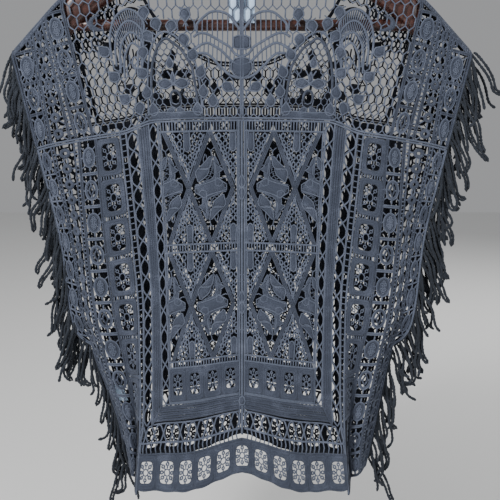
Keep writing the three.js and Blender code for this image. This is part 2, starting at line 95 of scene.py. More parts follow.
def cubic(xs, ys, x):
    """A monotone cubic through xs and ys, at x. ys may have a row for each x."""
    xs, ys = np.asarray(xs, float), np.asarray(ys, float)
    h = np.diff(xs)
    rise = np.diff(ys, axis=-1) / h
    a, b = rise[..., :-1], rise[..., 1:]
    w1, w2 = 2 * h[1:] + h[:-1], h[1:] + 2 * h[:-1]
    with np.errstate(divide="ignore", invalid="ignore"):
        inner = np.where(a * b > 0, (w1 + w2) / (w1 / a + w2 / b), 0)
    slope = np.concatenate([rise[..., :1], inner, rise[..., -1:]], -1)
    x = np.clip(x, xs[0], xs[-1])
    i = np.clip(np.searchsorted(xs, x, side="left") - 1, 0, len(h) - 1)
    t = (x - xs[i]) / h[i]

    def at(values, k):
        return values[k] if values.ndim == 1 else np.take_along_axis(values, k[:, None], -1)[:, 0]

    ends = (1 + 2 * t) * (1 - t) ** 2 * at(ys, i) + t * t * (3 - 2 * t) * at(ys, i + 1)
    return ends + h[i] * (t * (1 - t) ** 2 * at(slope, i) - t * t * (1 - t) * at(slope, i + 1))


def arm_top(x):
    return ARMS_TOP - 0.15 * abs(x) - 36 * (abs(x) / HALF_ARMS) ** 3


def arm_half(x):
    return (ARMS_DEPTH + ARMS_FLARE * (abs(x) / HALF_ARMS) ** 2) / 2


def drape(layer, u, v):
    """The hung places of flat points. layer is -1 for the back and 1 for the front."""
    a, down = np.abs(u), np.maximum(0, v)
    rows = [s[0] for s in SECTIONS]

    def across(k):
        return cubic(rows, np.stack([cubic(U, s[k], a) for s in SECTIONS], -1), down)

    free = 1 - smooth(FOLD_END, SIDE_U, a) * smooth(CUFF_END, UNDERARM, v)
    x, z, depth = across(2), cubic(rows, [s[1] for s in SECTIONS], down) - across(3), across(4)
    for crest, half, height in FOLDS:
        swell = height * np.exp(-(((a - crest) / half) ** 2)) * smooth(*FOLD_ROWS, v) * free
        depth = depth + swell * (1 if layer < 0 else -0.6)
    x = np.where(u < 0, x - LEFT_TUCK * smooth(TUCK_U, SIDE_U, a) * smooth(*TUCK_V, v), x)
    if layer > 0:
        z = z + FRONT_LIFT * (1 - smooth(LIFT_U, SIDE_U, a) * smooth(0, UNDERARM, v))
    top, deep = cubic(U, SHOULDER_X, a), cubic(U, SHOULDER_DEEP, a)
    inside, over = np.minimum(top, HALF_ARMS), np.maximum(0, top - HALF_ARMS)
    lift = ARMS_CLEAR + CLOTH / 2
    edge = arm_top(inside) + lift - OVER_FALL * over + OVER_ROUND * (1 - np.exp(-over / OVER_REACH))
    r = arm_half(inside) + lift - OVER_NARROW * smooth(0, OVER_LENGTH, over)
    turn = (deep + v) / r
    t = np.minimum(1, -v / (deep - np.pi / 2 * r))
    z_up = np.where(t >= 1, edge - r * (1 - np.cos(turn)), z + (edge - r - z) * t)
    y_up = np.where(t >= 1, r * np.sin(turn) + SEAM_GAP / 2, depth + (r + SEAM_GAP / 2 - depth) * t)
    up = v < 0
    x, z, depth = np.where(up, x + (top - x) * t, x), np.where(up, z_up, z), np.where(up, y_up, depth)
    return np.stack([np.where(u < 0, -x, x), layer * depth, z], -1)


# tables of places and outward normals over the flat lace, read between their points
STEP_U, STEP_V = 2.0, 1.25
TABLE_U = np.arange(-EDGE_U, EDGE_U + 0.1, STEP_U)
TABLE_V = np.arange(-230, SIDE_HEM + 0.1, STEP_V)


def make_table(layer):
    grid_u, grid_v = np.meshgrid(TABLE_U, TABLE_V, indexing="ij")
    place = drape(layer, grid_u.ravel(), grid_v.ravel()).reshape(*grid_u.shape, 3)
    normal = np.cross(np.gradient(place, axis=0), np.gradient(place, axis=1)) * layer
    return np.concatenate([place, normal / np.linalg.norm(normal, axis=-1, keepdims=True)], -1)


TABLES = {-1: make_table(-1), 1: make_table(1)}


def hang(layer, flat):
    """Places and outward normals of flat points (n, 2), in millimetres."""
    a = np.clip((flat[:, 0] - TABLE_U[0]) / STEP_U, 0, len(TABLE_U) - 1.001)
    b = np.clip((flat[:, 1] - TABLE_V[0]) / STEP_V, 0, len(TABLE_V) - 1.001)
    i, j = a.astype(int), b.astype(int)
    s, t = (a - i)[:, None], (b - j)[:, None]
    table = TABLES[layer]
    both = (table[i, j] * (1 - s) + table[i + 1, j] * s) * (1 - t) + (
        table[i, j + 1] * (1 - s) + table[i + 1, j + 1] * s
    ) * t
    return both[:, :3], both[:, 3:] / np.linalg.norm(both[:, 3:], axis=1, keepdims=True)


def neck_edge(which, u):
    """v of the neckline at u, and of the shoulder line beyond the neck."""
    a = np.abs(np.asarray(u, float))
    deep = cubic(U, SHOULDER_DEEP, a)
    return np.where(a < NECK_U[-1], -NECK_SHARE * cubic(NECK_U, NECK[which], a) * deep, -deep)


# meshes from flat cords and plates
def new_piece(name, points, faces, materials, marks=None):
    mesh = bpy.data.meshes.new(name)
    mesh.from_pydata((np.asarray(points) * MM).tolist(), [], faces)
    for material in materials:
        mesh.materials.append(material)
    if marks is not None:
        mesh.polygons.foreach_set("material_index", np.asarray(marks, np.int32))
    mesh.polygons.foreach_set("use_smooth", np.ones(len(mesh.polygons), bool))
    mesh.update()
    piece = bpy.data.objects.new(name, mesh)
    bpy.context.collection.objects.link(piece)
    return piece


def sweep(paths, sides, places, normals):
    """Tubes along paths. Each path is (first, count, closed, half width, half height, lift) into places."""
    count = sum(p[1] for p in paths)
    before, after = np.empty(count, int), np.empty(count, int)
    wide, tall, lift = np.empty(count), np.empty(count), np.empty(count)
    for first, n, closed, w, h, up in paths:
        index = np.arange(first, first + n)
        if closed:
            before[index], after[index] = np.roll(index, 1), np.roll(index, -1)
        else:
            before[index], after[index] = np.maximum(index - 1, first), np.minimum(index + 1, first + n - 1)
        wide[index], tall[index], lift[index] = w, h, up
    along = places[after] - places[before]
    along /= np.maximum(np.linalg.norm(along, axis=1, keepdims=True), 1e-9)
    side = np.cross(normals, along)
    side /= np.maximum(np.linalg.norm(side, axis=1, keepdims=True), 1e-9)
    off = np.cross(along, side)
    turns = 2 * np.pi * (np.arange(sides) + 0.5) / sides
    rings = (
        places[:, None]
        + off[:, None] * lift[:, None, None]
        + side[:, None] * wide[:, None, None] * np.cos(turns)[None, :, None]
        + off[:, None] * tall[:, None, None] * np.sin(turns)[None, :, None]
    )
    points, faces, total = [rings.reshape(-1, 3)], [], count * sides
    k = np.arange(sides)
    k1 = np.roll(k, -1)
    for first, n, closed, *_ in paths:
        index = np.arange(first, first + n - (0 if closed else 1))
        near, far = index[:, None] * sides, after[index][:, None] * sides
        faces += np.stack([near + k, near + k1, far + k1, far + k], -1).reshape(-1, 4).tolist()
        for at, way in () if closed else ((first, -1), (first + n - 1, 1)):
            points.append((places[at] + off[at] * lift[at] + along[at] * way * 0.5 * wide[at])[None])
            ring = [(at * sides + i, at * sides + (i + 1) % sides, total) for i in range(sides)]
            faces += ring if way > 0 else [f[::-1] for f in ring]
            total += 1
    return np.concatenate(points), faces


def resample(points, step):
    """The polyline with points added so that none are further apart than step."""
    points = np.asarray(points, float)
    out = [points[:1]]
    for a, b in zip(points[:-1], points[1:]):
        n = max(1, math.ceil(np.linalg.norm(b - a) / step))
        out.append(a + (b - a) * (np.arange(1, n + 1) / n)[:, None])
    return np.concatenate(out)


def spline(points, n=6):
    """A smooth path through the points, with n steps between two of them."""
    p = np.asarray(points, float)
    p = np.concatenate([2 * p[:1] - p[1:2], p, 2 * p[-1:] - p[-2:-1]])
    t = (np.arange(n) / n)[:, None]
    out = []
    for a, b, c, d in zip(p[:-3], p[1:-2], p[2:-1], p[3:]):
        square, cube = 2 * a - 5 * b + 4 * c - d, 3 * b - a - 3 * c + d
        out.append(0.5 * (2 * b + (c - a) * t + square * t**2 + cube * t**3))
    return np.concatenate(out + [p[-2:-1]])


def beside(path, distance):
    """The path moved sideways in the flat."""
    path = np.asarray(path, float)
    along = np.gradient(path, axis=0)
    along /= np.linalg.norm(along, axis=1, keepdims=True)
    return path + np.stack([-along[:, 1], along[:, 0]], -1) * distance


def placed(u, v, x, y, tilt):
    """The points turned by tilt and moved to u and v."""
    c, s = math.cos(tilt), math.sin(tilt)
    return np.stack([u + x * c - y * s, v + x * s + y * c], -1)


def oval(u, v, ru, rv, n=12, tilt=0.0):
    a = 2 * np.pi * np.arange(n) / n
    return placed(u, v, ru * np.cos(a), rv * np.sin(a), tilt)


def teardrop(u, v, wide, long, angle, n=14):
    """A bud's outline. Its point is at angle, 0 along u and 90 degrees down."""
    a = 2 * np.pi * np.arange(n) / n
    y = wide / 2 * np.sin(a) * (1 - 0.75 * np.maximum(np.cos(a), 0))
    return placed(u, v, long / 2 * np.cos(a), y, angle)


# the third place is a much darker yarn on the faces towards the garment's hollow, painted shade for its
# inside
THREAD, SOLID, PAINTED_SHADE = 0, 1, 2  # material places on a lace piece
FINE = 1.35  # threads below 1 mm radius are this much thicker than stated
FLAT_SHARE = 0.78  # a plate is flat inside this share of its outline


class Lace:
    """Cords, plates and frames on the flat half, which are mirrored unless they are single."""

    def __init__(self):
        self.cords, self.plates, self.frames = [], [], []

    def cord(self, points, r, lift=0, closed=False, step=4, sides=5, tall=None, mark=THREAD, single=False):
        points = np.asarray(points, float)
        if np.ndim(r) == 0 and r < 1:
            r *= FINE
        if not closed:
            full = resample(points, step)
            if np.ndim(r):
                r = np.interp(np.linspace(0, 1, len(full)), np.linspace(0, 1, len(points)), r)
            points = full
        self.cords.append((points, r, r if tall is None else tall, lift, closed, sides, mark, single))

    def bold(self, points, r, step=6, **look):
        """A cord of the darker, thicker yarn."""
        self.cord(points, r, step=step, mark=SOLID, **look)

    def thread(self, a, b, r=0.7, **look):
        """A thin straight cord."""
        self.cord([a, b], r, sides=4, **look)

    def down(self, u, v0, v1, r, step=6, **look):
        self.cord([(u, v0), (u, v1)], r, step=step, **look)

    def across(self, v, u0, u1, r, step=6, **look):
        self.cord([(u0, v), (u1, v)], r, step=step, **look)

    def ring(self, u, v, ru, rv, r, n=10, tilt=0.0, sides=5, **look):
        self.cord(oval(u, v, ru, rv, n, tilt), r, closed=True, sides=sides, **look)

    def rail(self, points, r=1.15, gap=2.1):
        """Two cords side by side."""
        for offset in (-gap / 2, gap / 2):
            self.bold(beside(points, offset), r)

    def plate(self, outline, thick=1.3, edge=0.0, centre=None, single=False):
        outline = np.asarray(outline, float)
        centre = outline.mean(0) if centre is None else np.asarray(centre, float)
        self.plates.append((outline, centre, thick, single))
        if edge:
            self.cord(outline, edge, thick * 0.7, True, single=single)

    def ladder(self, a0, a1, b0, b1, pitch, r, bow=0.0, down=False):
        """Rungs from b0 to b1 at each pitch between a0 and a1. down: a runs along v."""
        n = max(1, round((a1 - a0) / pitch))
        for a in a0 + (np.arange(n) + 0.5) * (a1 - a0) / n:
            rung = [(a, b0), (a + bow, (b0 + b1) / 2), (a, b1)] if bow else [(a, b0), (a, b1)]
            self.cord([(b, c) for c, b in rung] if down else rung, r, step=8, sides=4)

    def frame(self, u0, u1, v0, v1, wide, tall, thick=1.35, single=False):
        """A solid square with a window, as loops of points that follow each other round it."""
        a = 2 * np.pi * (np.arange(24) + 0.5) / 24

        def loop(w, h, power):
            x, y = (np.sign(t) * np.abs(t) ** (2 / power) for t in (np.cos(a), np.sin(a)))
            return np.stack([(u0 + u1) / 2 + w / 2 * x, (v0 + v1) / 2 + h / 2 * y], -1)

        w, h = u1 - u0, v1 - v0
        mid_w, mid_h = (w + wide) / 2, (h + tall) / 2
        self.frames.append(([
            (loop(w, h, 9), 0),
            (loop(w - 1.6, h - 1.6, 9), thick),
            (loop(mid_w + 0.8, mid_h + 1.2, 8), thick),
            (loop(mid_w, mid_h, 7), thick * 0.6),
            (loop(mid_w - 0.8, mid_h - 1.2, 6), thick),
            (loop(wide + 1.6, tall + 1.6, 5), thick * 1.15),
            (loop(wide, tall, 4.5), 0),
            (loop(wide + 1.6, tall + 1.6, 5), -thick),
            (loop(w - 1.6, h - 1.6, 9), -thick),
        ], single))

    def keep(self, test):
        """Leaves out cords and plates that have a point where test says no."""
        self.cords = [c for c in self.cords if test(c[0]).all()]
        self.plates = [p for p in self.plates if test(p[0]).all()]

    def cord_meshes(self, layer, spread):
        """Points, faces and mark of all cords with the same sides and mark."""
        groups = {}
        for flat, r, tall, lift, closed, sides, mark, single in self.cords:
            if np.ndim(r) == 0 and r < FINE:
                r, tall = r * spread, tall * (2 - spread)
            for flip in (1,) if single else (1, -1):
                groups.setdefault((sides, mark), []).append((flat * [flip, 1], closed, r, tall, lift))
        for (sides, mark), cords in groups.items():
            place, normal = hang(layer, np.concatenate([c[0] for c in cords]))
            paths, first = [], 0
            for c in cords:
                paths.append((first, len(c[0]), *c[1:]))
                first += len(c[0])
            yield *sweep(paths, sides, place, normal), mark

    def plate_meshes(self, layer):
        """Points, faces and mark of each plate and frame."""
        for outline, centre, thick, single in self.plates:
            n = len(outline)
            inset = centre + (outline - centre) * FLAT_SHARE
            height = np.repeat([0, thick, -thick, thick * 1.1, -thick * 1.1], [n, n, n, 1, 1])
            faces = []
            for i in range(n):
                j = (i + 1) % n
                faces += [(i, j, n + j, n + i), (n + i, n + j, 3 * n), (j, i, 2 * n + i, 2 * n + j)]
                faces.append((2 * n + j, 2 * n + i, 3 * n + 1))
            flat = np.concatenate([outline, inset, inset, [centre], [centre]])
            yield from both_halves(layer, flat, height, faces, 1, 0, single)
        for loops, single in self.frames:
            m, n = len(loops), len(loops[0][0])
            faces = [
                (r * n + i, r * n + (i + 1) % n, (r + 1) % m * n + (i + 1) % n, (r + 1) % m * n + i)
                for r in range(m)
                for i in range(n)
            ]
            height = np.repeat([h for _, h in loops], n)
            flat = np.concatenate([loop for loop, _ in loops])
            yield from both_halves(layer, flat, height, faces, n, -n, single)

    def build(self, name, layer, materials, spread=1.0):
        """A piece of the back, -1, or the front, 1. spread makes the fine cords wider and as much flatter."""
        points, faces, marks, base = [], [], [], 0
        for new_points, new_faces, mark in [*self.cord_meshes(layer, spread), *self.plate_meshes(layer)]:
            points.append(new_points)
            faces += [tuple(i + base for i in face) for face in new_faces]
            marks += [mark] * len(new_faces)
            base += len(new_points)
        points, marks = np.concatenate(points), np.array(marks)
        # the faces that look towards the hollow of the garment get a much darker yarn: painted shade for the
        # inside of the garment
        a, b, c = (points[[face[k] for face in faces]] for k in range(3))
        normal = np.cross(b - a, c - a)
        marks[normal[:, 1] * layer < -0.35 * np.linalg.norm(normal, axis=1)] = PAINTED_SHADE
        return new_piece(name, points, faces, materials, marks)


def both_halves(layer, flat, height, faces, outer, top, single):
    """The solid and its mirror image. The face at outer has to look along the normal at top."""
    for flip in (1,) if single else (1, -1):
        place, normal = hang(layer, flat * [flip, 1])
        points = place + normal * height[:, None]
        a, b, c = points[list(faces[outer][:3])]
        turned = np.cross(b - a, c - a) @ normal[top] < 0
        yield points, [face[::-1] for face in faces] if turned else faces, SOLID


# materials
def principled(name, colour, roughness, **values):
    material = bpy.data.materials.new(name)
    material.use_nodes = True
    shader = material.node_tree.nodes["Principled BSDF"]
    shader.inputs["Base Color"].default_value = (*colour, 1)
    shader.inputs["Roughness"].default_value = roughness
    set_inputs(shader, values)
    return material, shader


def set_inputs(node, values):
    for name, value in values.items():
        node.inputs[name.replace("_", " ")].default_value = value


def add_node(material, kind, **values):
    node = material.node_tree.nodes.new(f"ShaderNode{kind}")
    set_inputs(node, values)
    return node


def colour_ramp(material, *stops):
    ramp = add_node(material, "ValToRGB")
    for element, (position, colour) in zip(ramp.color_ramp.elements, stops):
        element.position = position
        element.color = (*colour, 1)
    return ramp


def connect(material, *wires):
    """Each wire is a node and its output, then a node and its input."""
    for source, output, target, socket in wires:
        material.node_tree.links.new(source.outputs[output], target.inputs[socket])


def yarn_material(name, dark, light, scale, strength=0.5):
    """Matt yarn: patchy colour, and stitches with fine fibres as bump."""
    gloss = {"Sheen_Weight": 0.08, "Sheen_Roughness": 0.5, "Specular_IOR_Level": 0.25}
    material, shader = principled(name, light, 0.95, **gloss)
    place = add_node(material, "TexCoord")
    patches = add_node(material, "TexNoise", Scale=60, Detail=6)
    stitches = add_node(material, "TexVoronoi", Scale=scale)
    fibres = add_node(material, "TexNoise", Scale=scale * 2.2, Detail=3)
    ramp = colour_ramp(material, (0.3, dark), (0.7, light))
    mix, add = add_node(material, "Math"), add_node(material, "Math")
    mix.operation, add.operation = "MULTIPLY_ADD", "ADD"
    mix.inputs[1].default_value = -0.35
    bump = add_node(material, "Bump", Strength=strength, Distance=0.0006)
    for texture in (patches, stitches, fibres):
        connect(material, (place, "Object", texture, "Vector"))
    connect(material, (stitches, "Distance", mix, 0), (patches, "Fac", mix, 2))
    connect(material, (mix, 0, ramp, "Fac"), (ramp, "Color", shader, "Base Color"))
    connect(material, (stitches, "Distance", add, 0), (fibres, "Fac", add, 1))
    connect(material, (add, 0, bump, "Height"), (bump, "Normal", shader, "Normal"))
    return material


def wood_material():
    gloss = {"Coat_Weight": 0.35, "Coat_Roughness": 0.25}
    material, shader = principled("hanger_lacquer", (0.07, 0.022, 0.016), 0.38, **gloss)
    place = add_node(material, "TexCoord")
    stretch = add_node(material, "Mapping", Scale=(3, 30, 30))
    grain = add_node(material, "TexNoise", Scale=6, Detail=8)
    ramp = colour_ramp(material, (0.35, (0.035, 0.011, 0.008)), (0.7, (0.085, 0.028, 0.02)))
    connect(material, (place, "Object", stretch, "Vector"), (stretch, "Vector", grain, "Vector"))
    connect(material, (grain, "Fac", ramp, "Fac"), (ramp, "Color", shader, "Base Color"))
    return material


def steel_material():
    material, shader = principled("hook_steel", (0.62, 0.62, 0.63), 0.25, Metallic=1.0)
    place = add_node(material, "TexCoord")
    noise = add_node(material, "TexNoise", Scale=300)
    spread = add_node(material, "MapRange", To_Min=0.18, To_Max=0.34)
    connect(material, (place, "Object", noise, "Vector"), (noise, "Fac", spread, "Value"))
    connect(material, (spread, "Result", shader, "Roughness"))
    return material


thread = yarn_material("lace_thread", (0.085, 0.1, 0.14), (0.15, 0.17, 0.23), 1100)
solid = yarn_material("lace_solid", (0.045, 0.054, 0.079), (0.095, 0.11, 0.155), 800, 0.8)
# painted shade: a much darker yarn for the lace's faces towards the garment's hollow, standing in for the
# shade inside it
painted_shade_yarn = yarn_material("lace_painted_shade", (0.006, 0.008, 0.014), (0.016, 0.02, 0.03), 800, 0.6)
fringe_yarn = yarn_material("fringe_yarn", (0.018, 0.022, 0.03), (0.042, 0.049, 0.064), 700, 0.8)
tape = yarn_material("label_tape", (0.52, 0.68, 0.9), (0.64, 0.79, 0.98), 1500, 0.3)
wood = wood_material()
steel = steel_material()
for node_name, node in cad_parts.items():
    if node_name.startswith("hanger_hook"):
        look = steel
    elif node_name.startswith("hanger"):
        look = wood
    elif "label" in node_name:
        look = tape
    else:
        look = fringe_yarn if "fringe" in node_name else solid
    node.data.materials.clear()
    node.data.materials.append(look)


# the body's lace
BODY_TOP, BODY_FOOT = 2, 463
CENTRE_CORD, PANEL_EDGE = 3.6, 105
DIAMOND_BLOCKS = ((14, 154), (164, 304))
DIAMONDS, POINTS, DIAMOND_HALF = (40.5, 98.5), (11.5, 69.5), 29  # u of their middles and side points
PANEL_SQUARE, PANEL_SQUARES_V = 25.25, (312.6, 351.4)


def centre_panel():
    """The middle of the body: ladders, two blocks of diamonds, and a row of squares."""
    lace = Lace()
    lace.down(0, BODY_TOP, 403, 1.6, single=True)
    lace.down(CENTRE_CORD, BODY_TOP, 394, 0.95)
    lace.down(PANEL_EDGE, BODY_TOP, 352, 1.25)
    for u in (5.8, 102.4):
        lace.down(u, 14, 304, 0.8)
    for v0, v1 in ((BODY_TOP, 14), (154, 164), (304, 312)):
        lace.ladder(4, 104, v0, v1, 3.7, 0.75)
    for v in (14, 154, 164, 304, 312):
        lace.across(v, CENTRE_CORD, PANEL_EDGE, 1.3)
    lace.across(351.5, CENTRE_CORD, PANEL_EDGE, 1.2)
    for block in DIAMOND_BLOCKS:
        diamond_block(lace, *block)
    for i in range(4):
        u = 4 + PANEL_SQUARE * i
        square(lace, u, u + PANEL_SQUARE, *PANEL_SQUARES_V, 13, 24)
        lace.down(u, 313, 351, 1.2, step=8, mark=SOLID)
    for v in (313.6, 350.2):
        lace.across(v, 4, 104.6, 1.1, step=7, mark=SOLID)
    return lace


# places in a square's window, in shares of half its size
WINDOW_SIDE = [(0.62, -0.52), (0.78, 0), (0.64, 0.46)]
WINDOW_RINGS = [(0, -0.76), (0, 0.7)] + [(s * x, y) for s in (-1, 1) for x, y in WINDOW_SIDE]


def square(lace, u0, u1, v0, v1, wide, tall, single=False, fine=0.62):
    """A solid square whose window holds an oval ring among small rings."""
    lace.frame(u0, u1, v0, v1, wide, tall, single=single)
    middle, half = np.array([u0 + u1, v0 + v1]) / 2, np.array([wide, tall]) / 2
    lace.ring(*middle, half[0] * 0.42, half[1] * 0.31, 0.62, 12, single=single)
    for share in np.array(WINDOW_RINGS):
        lace.ring(*(middle + half * share), half[0] * 0.2, half[0] * 0.23, fine, 8, sides=4, single=single)
        for near, far in ((0.4 / np.linalg.norm(share), 0.8), (1.16, 1.4)):
            lace.thread(middle + half * share * near, middle + half * share * far, fine - 0.1, single=single)


def diamond_block(lace, v0, v1):
    """Crossing bands between two rails, with leaves in the diamonds and rings between them."""
    mid, half = (v0 + v1) / 2, (v1 - v0) / 2
    for rail, way in ((v0, 1), (v1, -1)):
        for foot, point in ((f, p) for f in DIAMONDS for p in POINTS if abs(f - p) == DIAMOND_HALF):
            leg = np.array([(foot, rail), (point, mid)], float)
            for offset in (-1.9, 0, 1.9):
                lace.bold(beside(leg, offset), 1.1)
            # a thin cord inside the band, which ends before the corners
            inner = 1 if (point > foot) == (way < 0) else -1
            path = beside(np.array([leg[0], leg.mean(0), leg[1]]), inner * 4.8)
            path[0] += (path[1] - path[0]) * 0.16
            path[-1] += (path[1] - path[-1]) * 0.1
            lace.cord(path, 0.7, step=6)
        for centre in POINTS:
            finger(lace, centre, rail, way)
            ring_field(lace, centre, rail, way, half)
    for centre in DIAMONDS:
        leaf_pair(lace, centre, mid)
    # the spindle on the centre seam
    for way in (-1, 1):
        lace.plate(teardrop(0, mid + way * 8, 9, 17, way * math.pi / 2), 1.2, 0.8, single=True)


FINGER = [(3.4, 1), (3.6, 12), (4.2, 19), (2.8, 23.5)]
FINGER_LONG, FINGER_MIDDLE = 25, 15


def finger(lace, u, rail, way):
    """A solid bar with a round end that hangs from a rail."""
    near = [(u - du, rail + way * dv) for du, dv in FINGER]
    far = [(u + du, rail + way * dv) for du, dv in FINGER[::-1]]
    lace.plate(near + [(u, rail + way * FINGER_LONG)] + far, 1.3, 0.75, (u, rail + way * FINGER_MIDDLE))


# rings beside a finger: how far from its middle and from the rail, and half their size
FIELD_RINGS = [
    (8.6, 7, 2.3, 3.4), (17.5, 6, 2.2, 2.8), (9.6, 15.5, 2.4, 3), (16.4, 14.5, 1.9, 2.8), (6.8, 24, 2, 3.2),
    (13.2, 22.5, 2.4, 2.6), (3.4, 32, 1.9, 3.1), (9.6, 31, 1.9, 3), (3.2, 40.5, 1.9, 3), (8.4, 38.8, 1.3, 2),
    (0, 48.5, 2.3, 2.6), (0, 55.5, 1.2, 2.2),
]
FIELD_THREAD, FIELD_REACH, BAND_REACH = 0.62, 9.6, 11


def ring_field(lace, centre, rail, way, half):
    """Small rings with threads between them, in the triangle below a rail."""
    rings = []
    for du, dv, ru, rv in FIELD_RINGS:
        for u in (centre + du, centre - du) if du else (centre,):
            if 5.2 + ru < u + (1 if centre == POINTS[0] else 0) < 104 - ru:
                rings.append((u, rail + way * dv, ru, rv))
    for i, (u, v, ru, rv) in enumerate(rings):
        lace.ring(u, v, ru + 0.3, rv + 0.3, 0.78, 9, tilt=0.25 * math.sin(3.1 * i + centre), sides=4)
        for u2, v2, ru2, _ in rings[i + 1:]:
            gap = math.hypot(u2 - u, v2 - v)
            if gap < FIELD_REACH:
                d = np.array([(u2 - u) / gap, (v2 - v) / gap])
                a, b = np.array([u, v]) + d * ru * 1.05, np.array([u2, v2]) - d * ru2 * 1.05
                if (b - a) @ d > 0.2:
                    lace.thread(a, b, FIELD_THREAD)
        # threads to the band and to the rail
        side = math.copysign(1, u - centre) if u != centre else 0
        dv = abs(v - rail)
        band = centre + side * (DIAMOND_HALF * (1 - dv / half) - 3)
        if side and abs(band - u) < BAND_REACH:
            lace.thread((u + side * ru, v), (band, v + way * 1.5), FIELD_THREAD)
        if dv < 8:
            lace.thread((u, v - way * rv), (u, rail), FIELD_THREAD)


# half of a pair of leaves, from the diamond's middle; the other half is turned round it
BEADS = [
    (3.2, -33.5), (3.2, -29.4), (3.0, -24.9), (1.2, -19.6),
    (-0.9, -14.9), (-4, -11.3), (-7.6, -8.6), (-11.5, -6.8),
]
LEAF_PLATES = [
    [(3, -40), (-1, -38.5), (-5, -34), (-10, -29), (-15.3, -25.2), (-9, -24), (-4, -24.2), (-1.4, -25),
     (0.7, -28.5), (1.6, -34)],
    [(-15.8, -24), (-18.6, -21), (-19.2, -17), (-17.6, -12.5), (-16.6, -8.5), (-14.6, -8), (-11.8, -10.4),
     (-8.3, -12.6), (-4.8, -15.6), (-3, -19), (-1.6, -23.6), (-6, -22.8), (-10, -22.6)],
    [(6, -32), (11, -27), (16.5, -22.5), (12.5, -20.5), (7, -17.5)],
    [(6, -14), (12, -11), (16, -6), (12, -2), (6, -4)],
]
LEAF_BAND = [(5.2, -39), (7.4, -31), (8, -23), (8.2, -16), (5.4, -9.5), (-2, -5), (-11, -1.8), (-20, -2.4)]
LEAF_WIDTHS = [0.8, 2.9, 3.3, 3.4, 4.2, 4.6, 4.2, 2.2]
LEAF_THREADS = [
    [(2, -40), (1, -46), (-3.5, -49.5)], [(1, -46), (6.2, -50.5)], [(-8.5, -30), (-9, -36), (-6.6, -42)],
    [(-4, -36), (-5.5, -41)], [(-17.4, -21), (-20.6, -20.4)], [(11, -27.5), (14.8, -28)],
    [(12, -10.6), (17.5, -13), (20.5, -12)], [(-19.4, -14), (-22, -12)],
]
HEART_HALF = [(-20.5, -2.4), (-12, -4.5), (-4, -6.5), (4, -9), (9, -12), (14, -9), (20.5, -5)]
LEAF_LIMIT = 103


def leaf_pair(lace, u, v):
    """Two leaves round a common middle. Each has lobes and a band on the two sides of a row of beads."""

    def put(points, turn):
        return np.array([(u - turn * x, v + turn * y) for x, y in points])

    for turn in (1, -1):
        heart = [HEART_HALF + [(-x, -y) for x, y in HEART_HALF]] if turn > 0 else []
        for outline in LEAF_PLATES + heart:
            whole = put(outline, turn)
            whole[:, 0] = np.minimum(whole[:, 0], LEAF_LIMIT)
            if np.ptp(whole[:, 0]) > 3:
                lace.plate(whole, 1.35, 0.62)
        band = put(LEAF_BAND, turn)
        shown = band[:, 0] < LEAF_LIMIT
        if shown.sum() > 2:
            path = spline(band[shown], 4)
            share = np.linspace(0, 1, shown.sum())
            wide = np.interp(np.linspace(0, 1, len(path)), share, np.array(LEAF_WIDTHS)[shown])
            lace.bold(path, wide, 50, tall=1.35, sides=8)
            for way in (1, -1):
                apart = beside(path, way)
                rim = np.concatenate([apart[:1], path + (apart - path) * wide[:, None]])
                lace.cord(rim, 0.55, sides=4, lift=0.4)
        beads = put(BEADS, turn)
        for (x, y), (bead_u, bead_v) in zip(BEADS, beads):
            if bead_u < LEAF_LIMIT - 1:
                lace.plate(oval(bead_u, bead_v, 1.3, 1.3, 6), 1.2)
                for dx, dy in ((-3.4, -1.2), (3, 1.8), (-2.4, 2.2)):
                    lace.thread(*put([(x, y), (x + dx, y + dy)], turn), 0.45)
        if u < 90:
            lace.cord(beads, 0.45, sides=4)
        for line in LEAF_THREADS:
            path = put(line, turn)
            if (path[:, 0] < LEAF_LIMIT).all():
                lace.cord(path, 0.6, sides=4)


def wavy(lace, centre, swing, q0, q1, pitch, r, down=True):
    """Two threads that cross at each pitch, with lens-shaped holes between."""
    n = round((q1 - q0) / pitch)
    q = np.linspace(q0, q1, n * 8 + 1)
    s = np.sin(np.pi * (q - q0) / ((q1 - q0) / n))
    bend = np.sign(s) * np.minimum(1, 1.12 * np.abs(s)) * swing
    for sign in (1, -1):
        path = np.stack([centre + sign * bend, q] if down else [q, centre + sign * bend], -1)
        lace.cord(path, r, step=6)


LENS = 23.4  # pitch of the lens-shaped holes
BAND_OUT, BAND_FOOT = 130.4, 373
LADDER_U = 145.2, 152.8


